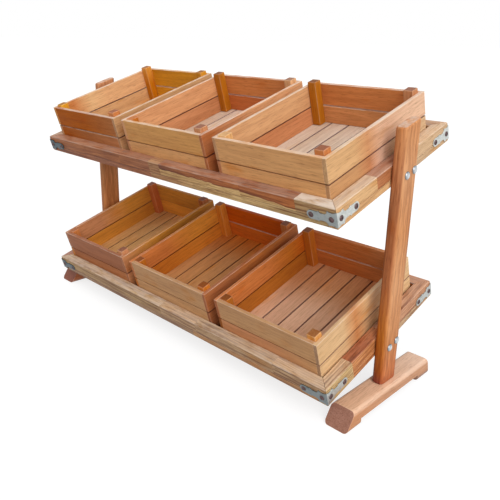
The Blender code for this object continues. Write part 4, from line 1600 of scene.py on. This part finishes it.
def screw_heads():
    """The four screw heads of a brace, seated on its legs."""
    seat = FIT + BRACE_THICKNESS
    heads = bmesh.new()
    for spot in BRACE_SCREW_SPOTS:
        for place, turn in (
            ((-spot, -seat, 0), Matrix.Rotation(math.pi / 2, 4, "X")),
            ((seat, spot, 0), Matrix.Rotation(math.pi / 2, 4, "Y")),
        ):
            count = len(heads.verts)
            heads.from_mesh(SCREW_HEAD)
            heads.verts.ensure_lookup_table()
            spin = Matrix.Rotation(DRAW.uniform(0, math.pi / 2), 4, "Z")
            seated = Matrix.Translation(place) @ turn @ spin
            bmesh.ops.transform(heads, matrix=seated, verts=heads.verts[count:])
    return heads


def make_braces(tier):
    low, high = box_along(f"{tier}_tray_base_board")
    corners = (
        ("front_right", high.x, low.y),
        ("back_right", high.x, high.y),
        ("back_left", low.x, high.y),
        ("front_left", low.x, low.y),
    )
    for i, (corner, x, y) in enumerate(corners):
        node = f"{tier}_{corner}_brace"
        node_low, node_high = box_along(node)
        height = (node_low.z + node_high.z) / 2
        place = SLOPE @ Matrix.Translation((x, y, height)) @ Matrix.Rotation(i * math.pi / 2, 4, "Z")
        dulling_and_shade = (FRONT_DULLING_AND_SHADE.get(f"{tier}_{corner}", BACK_DULLING_AND_SHADE), SIDE_DULLING_AND_SHADE[tier])
        shape = brace_strap(dulling_and_shade if i % 2 == 0 else dulling_and_shade[::-1])
        strap = show(f"{node}_strap", shape, SPANGLE, "stand", [node], place)
        strap.modifiers.clear()
        thick = strap.modifiers.new("thickness", "SOLIDIFY")
        thick.thickness = BRACE_THICKNESS
        thick.offset = 0.0
        eased = strap.modifiers.new("eased", "BEVEL")
        eased.width = BRACE_EASING
        eased.segments = 2
        eased.angle_limit = FLAT
        show(f"{node}_screws", screw_heads(), BROWNED, "stand", [node], place)


for tier in ("lower", "upper"):
    make_braces(tier)

# %% [markdown]
# ## Carriage bolts
#
# Two bolts at each end of each tray hold it to its post. Only the domed head shows outside. The washer and
# nut sit in a pocket in the rail, where they come into view when a crate is lifted out. Head, shank and
# washer could be three cylinders, but one turned profile gives a single clean skin. The nut is a six-sided
# prism round it. The head's rim is darkened as painted shade, so that its dome stands out from the post.

# %% Bolts
BOLT_RADIUS = 0.003
BOLT_HEAD_RADIUS = 0.00825
BOLT_HEAD_HEIGHT = 0.0042
BOLT_LIP = 0.0006
BOLT_TIP = 0.001
WASHER_RADIUS = 0.006
WASHER_THICKNESS = 0.0014
NUT_RADIUS = 0.0056
NUT_HEIGHT = 0.005
RIM_SHADE_FALL = 3


def bolt_shape(length):
    """A bolt of the given overall length down Z from its head, with its washer and nut."""
    tip = BOLT_HEAD_HEIGHT - length
    nut_end = tip + BOLT_TIP
    washer = nut_end + NUT_HEIGHT
    profile = dome(BOLT_HEAD_RADIUS, BOLT_HEAD_HEIGHT, BOLT_LIP) + [
        (BOLT_RADIUS, 0.0),
        (BOLT_RADIUS, washer + WASHER_THICKNESS),
        (WASHER_RADIUS, washer + WASHER_THICKNESS),
        (WASHER_RADIUS, washer),
        (BOLT_RADIUS, washer),
        (BOLT_RADIUS, tip),
        (0.0, tip),
    ]
    shape = turned(profile)
    bmesh.ops.create_cone(
        shape,
        cap_ends=True,
        segments=6,
        radius1=NUT_RADIUS,
        radius2=NUT_RADIUS,
        depth=NUT_HEIGHT - TINY,
        matrix=Matrix.Translation((0, 0, nut_end + NUT_HEIGHT / 2)),
    )
    # The head's rim is darkened towards its edge as painted shade
    patina = shape.verts.layers.float.new("patina")
    for corner in shape.verts:
        corner[patina] = min(1.0, corner.co.xy.length / BOLT_HEAD_RADIUS) ** RIM_SHADE_FALL
    return shape


def make_bolts(tier):
    for side, sign in (("left", -1), ("right", 1)):
        for spot in ("front", "back"):
            node = f"{tier}_{side}_{spot}_bolt"
            low, high = box_along(node)
            head = (high.x if sign > 0 else low.x) - sign * BOLT_HEAD_HEIGHT
            seat = Matrix.Translation((head, (low.y + high.y) / 2, (low.z + high.z) / 2))
            place = SLOPE @ seat @ Matrix.Rotation(sign * math.pi / 2, 4, "Y")
            shape = bolt_shape(high.x - low.x)
            show(f"{node}_turned", shape, ZINC, "stand", [node], place)


for tier in ("lower", "upper"):
    make_bolts(tier)

# %% [markdown]
# ## Floor and light
#
# The stand is shown on a plain pale floor under soft light from the right and above, as on a bright
# overcast day. A white floor could be had by more light, but that would bleach the wood. Instead the floor
# glows a little, only as the camera and reflections see it, and throws back less light than a white floor
# does, so the fronts stay darker than the sides.

# %% Floor
FLOOR_SIZE = 60.0
FLOOR_SEEN = (0.32, 0.32, 0.32)
FLOOR_GLOW = 0.76
FLOOR_BOUNCE = (0.32, 0.31, 0.30)
WHITE = (1.0, 1.0, 1.0, 1.0)


def seen_directly(nodes):
    """1 for rays from the camera, in reflections and through glass, else 0."""
    path = nodes.add("ShaderNodeLightPath").outputs
    seen = nodes.math("MAXIMUM", path["Is Camera Ray"], path["Is Glossy Ray"])
    return nodes.math("MAXIMUM", seen, path["Is Transmission Ray"])


def make_floor_plane():
    shape = bmesh.new()
    bmesh.ops.create_grid(shape, x_segments=1, y_segments=1, size=FLOOR_SIZE)
    floor = new_object("floor", shape)
    material, nodes, shader = new_material("pale_floor")
    seen = seen_directly(nodes)
    nodes.set(shader.inputs["Base Color"], nodes.mix(seen, FLOOR_BOUNCE, FLOOR_SEEN))
    shader.inputs["Emission Color"].default_value = WHITE
    nodes.set(shader.inputs["Emission Strength"], nodes.spread(seen, 0.0, FLOOR_GLOW))
    shader.inputs["Roughness"].default_value = 0.9
    shader.inputs["Specular IOR Level"].default_value = 0.0
    floor.data.materials.append(material)
    floor.location.z = CAD_BOX[0].z - TINY


make_floor_plane()
print("floor:", FLOOR_SIZE * 2, "m wide")

# %% Light
SKY_LIGHT = 0.6
SOFTNESS = math.radians(50)
HIGH_LIGHT = (Vector((0.64, -0.38, 0.67)), 1.3)
LOW_LIGHT = (Vector((0.85, -0.42, 0.31)), 1.15)


def make_sky():
    world = bpy.data.worlds.new("sky")
    world.use_nodes = True
    nodes = Nodes(world.node_tree)
    sky = world.node_tree.nodes["Background"]
    sky.inputs["Color"].default_value = WHITE
    nodes.set(sky.inputs["Strength"], nodes.spread(seen_directly(nodes), SKY_LIGHT, 1.0))
    SCENE.world = world


def make_soft_sun(name, towards, strength):
    light = bpy.data.lights.new(name, "SUN")
    light.energy = strength
    light.angle = SOFTNESS
    lamp = bpy.data.objects.new(name, light)
    lamp.rotation_euler = towards.to_track_quat("Z", "Y").to_euler()
    SCENE.collection.objects.link(lamp)


make_sky()
make_soft_sun("high_light", *HIGH_LIGHT)
make_soft_sun("low_light", *LOW_LIGHT)
SCENE.view_settings.view_transform = "Standard"

# %% [markdown]
# ## Measure and finish
#
# The dressed stand keeps the size of its solids, whose box is printed here.

# %% Finish
print("solids' box:", [tuple(round(v, 4) for v in c) for c in CAD_BOX])
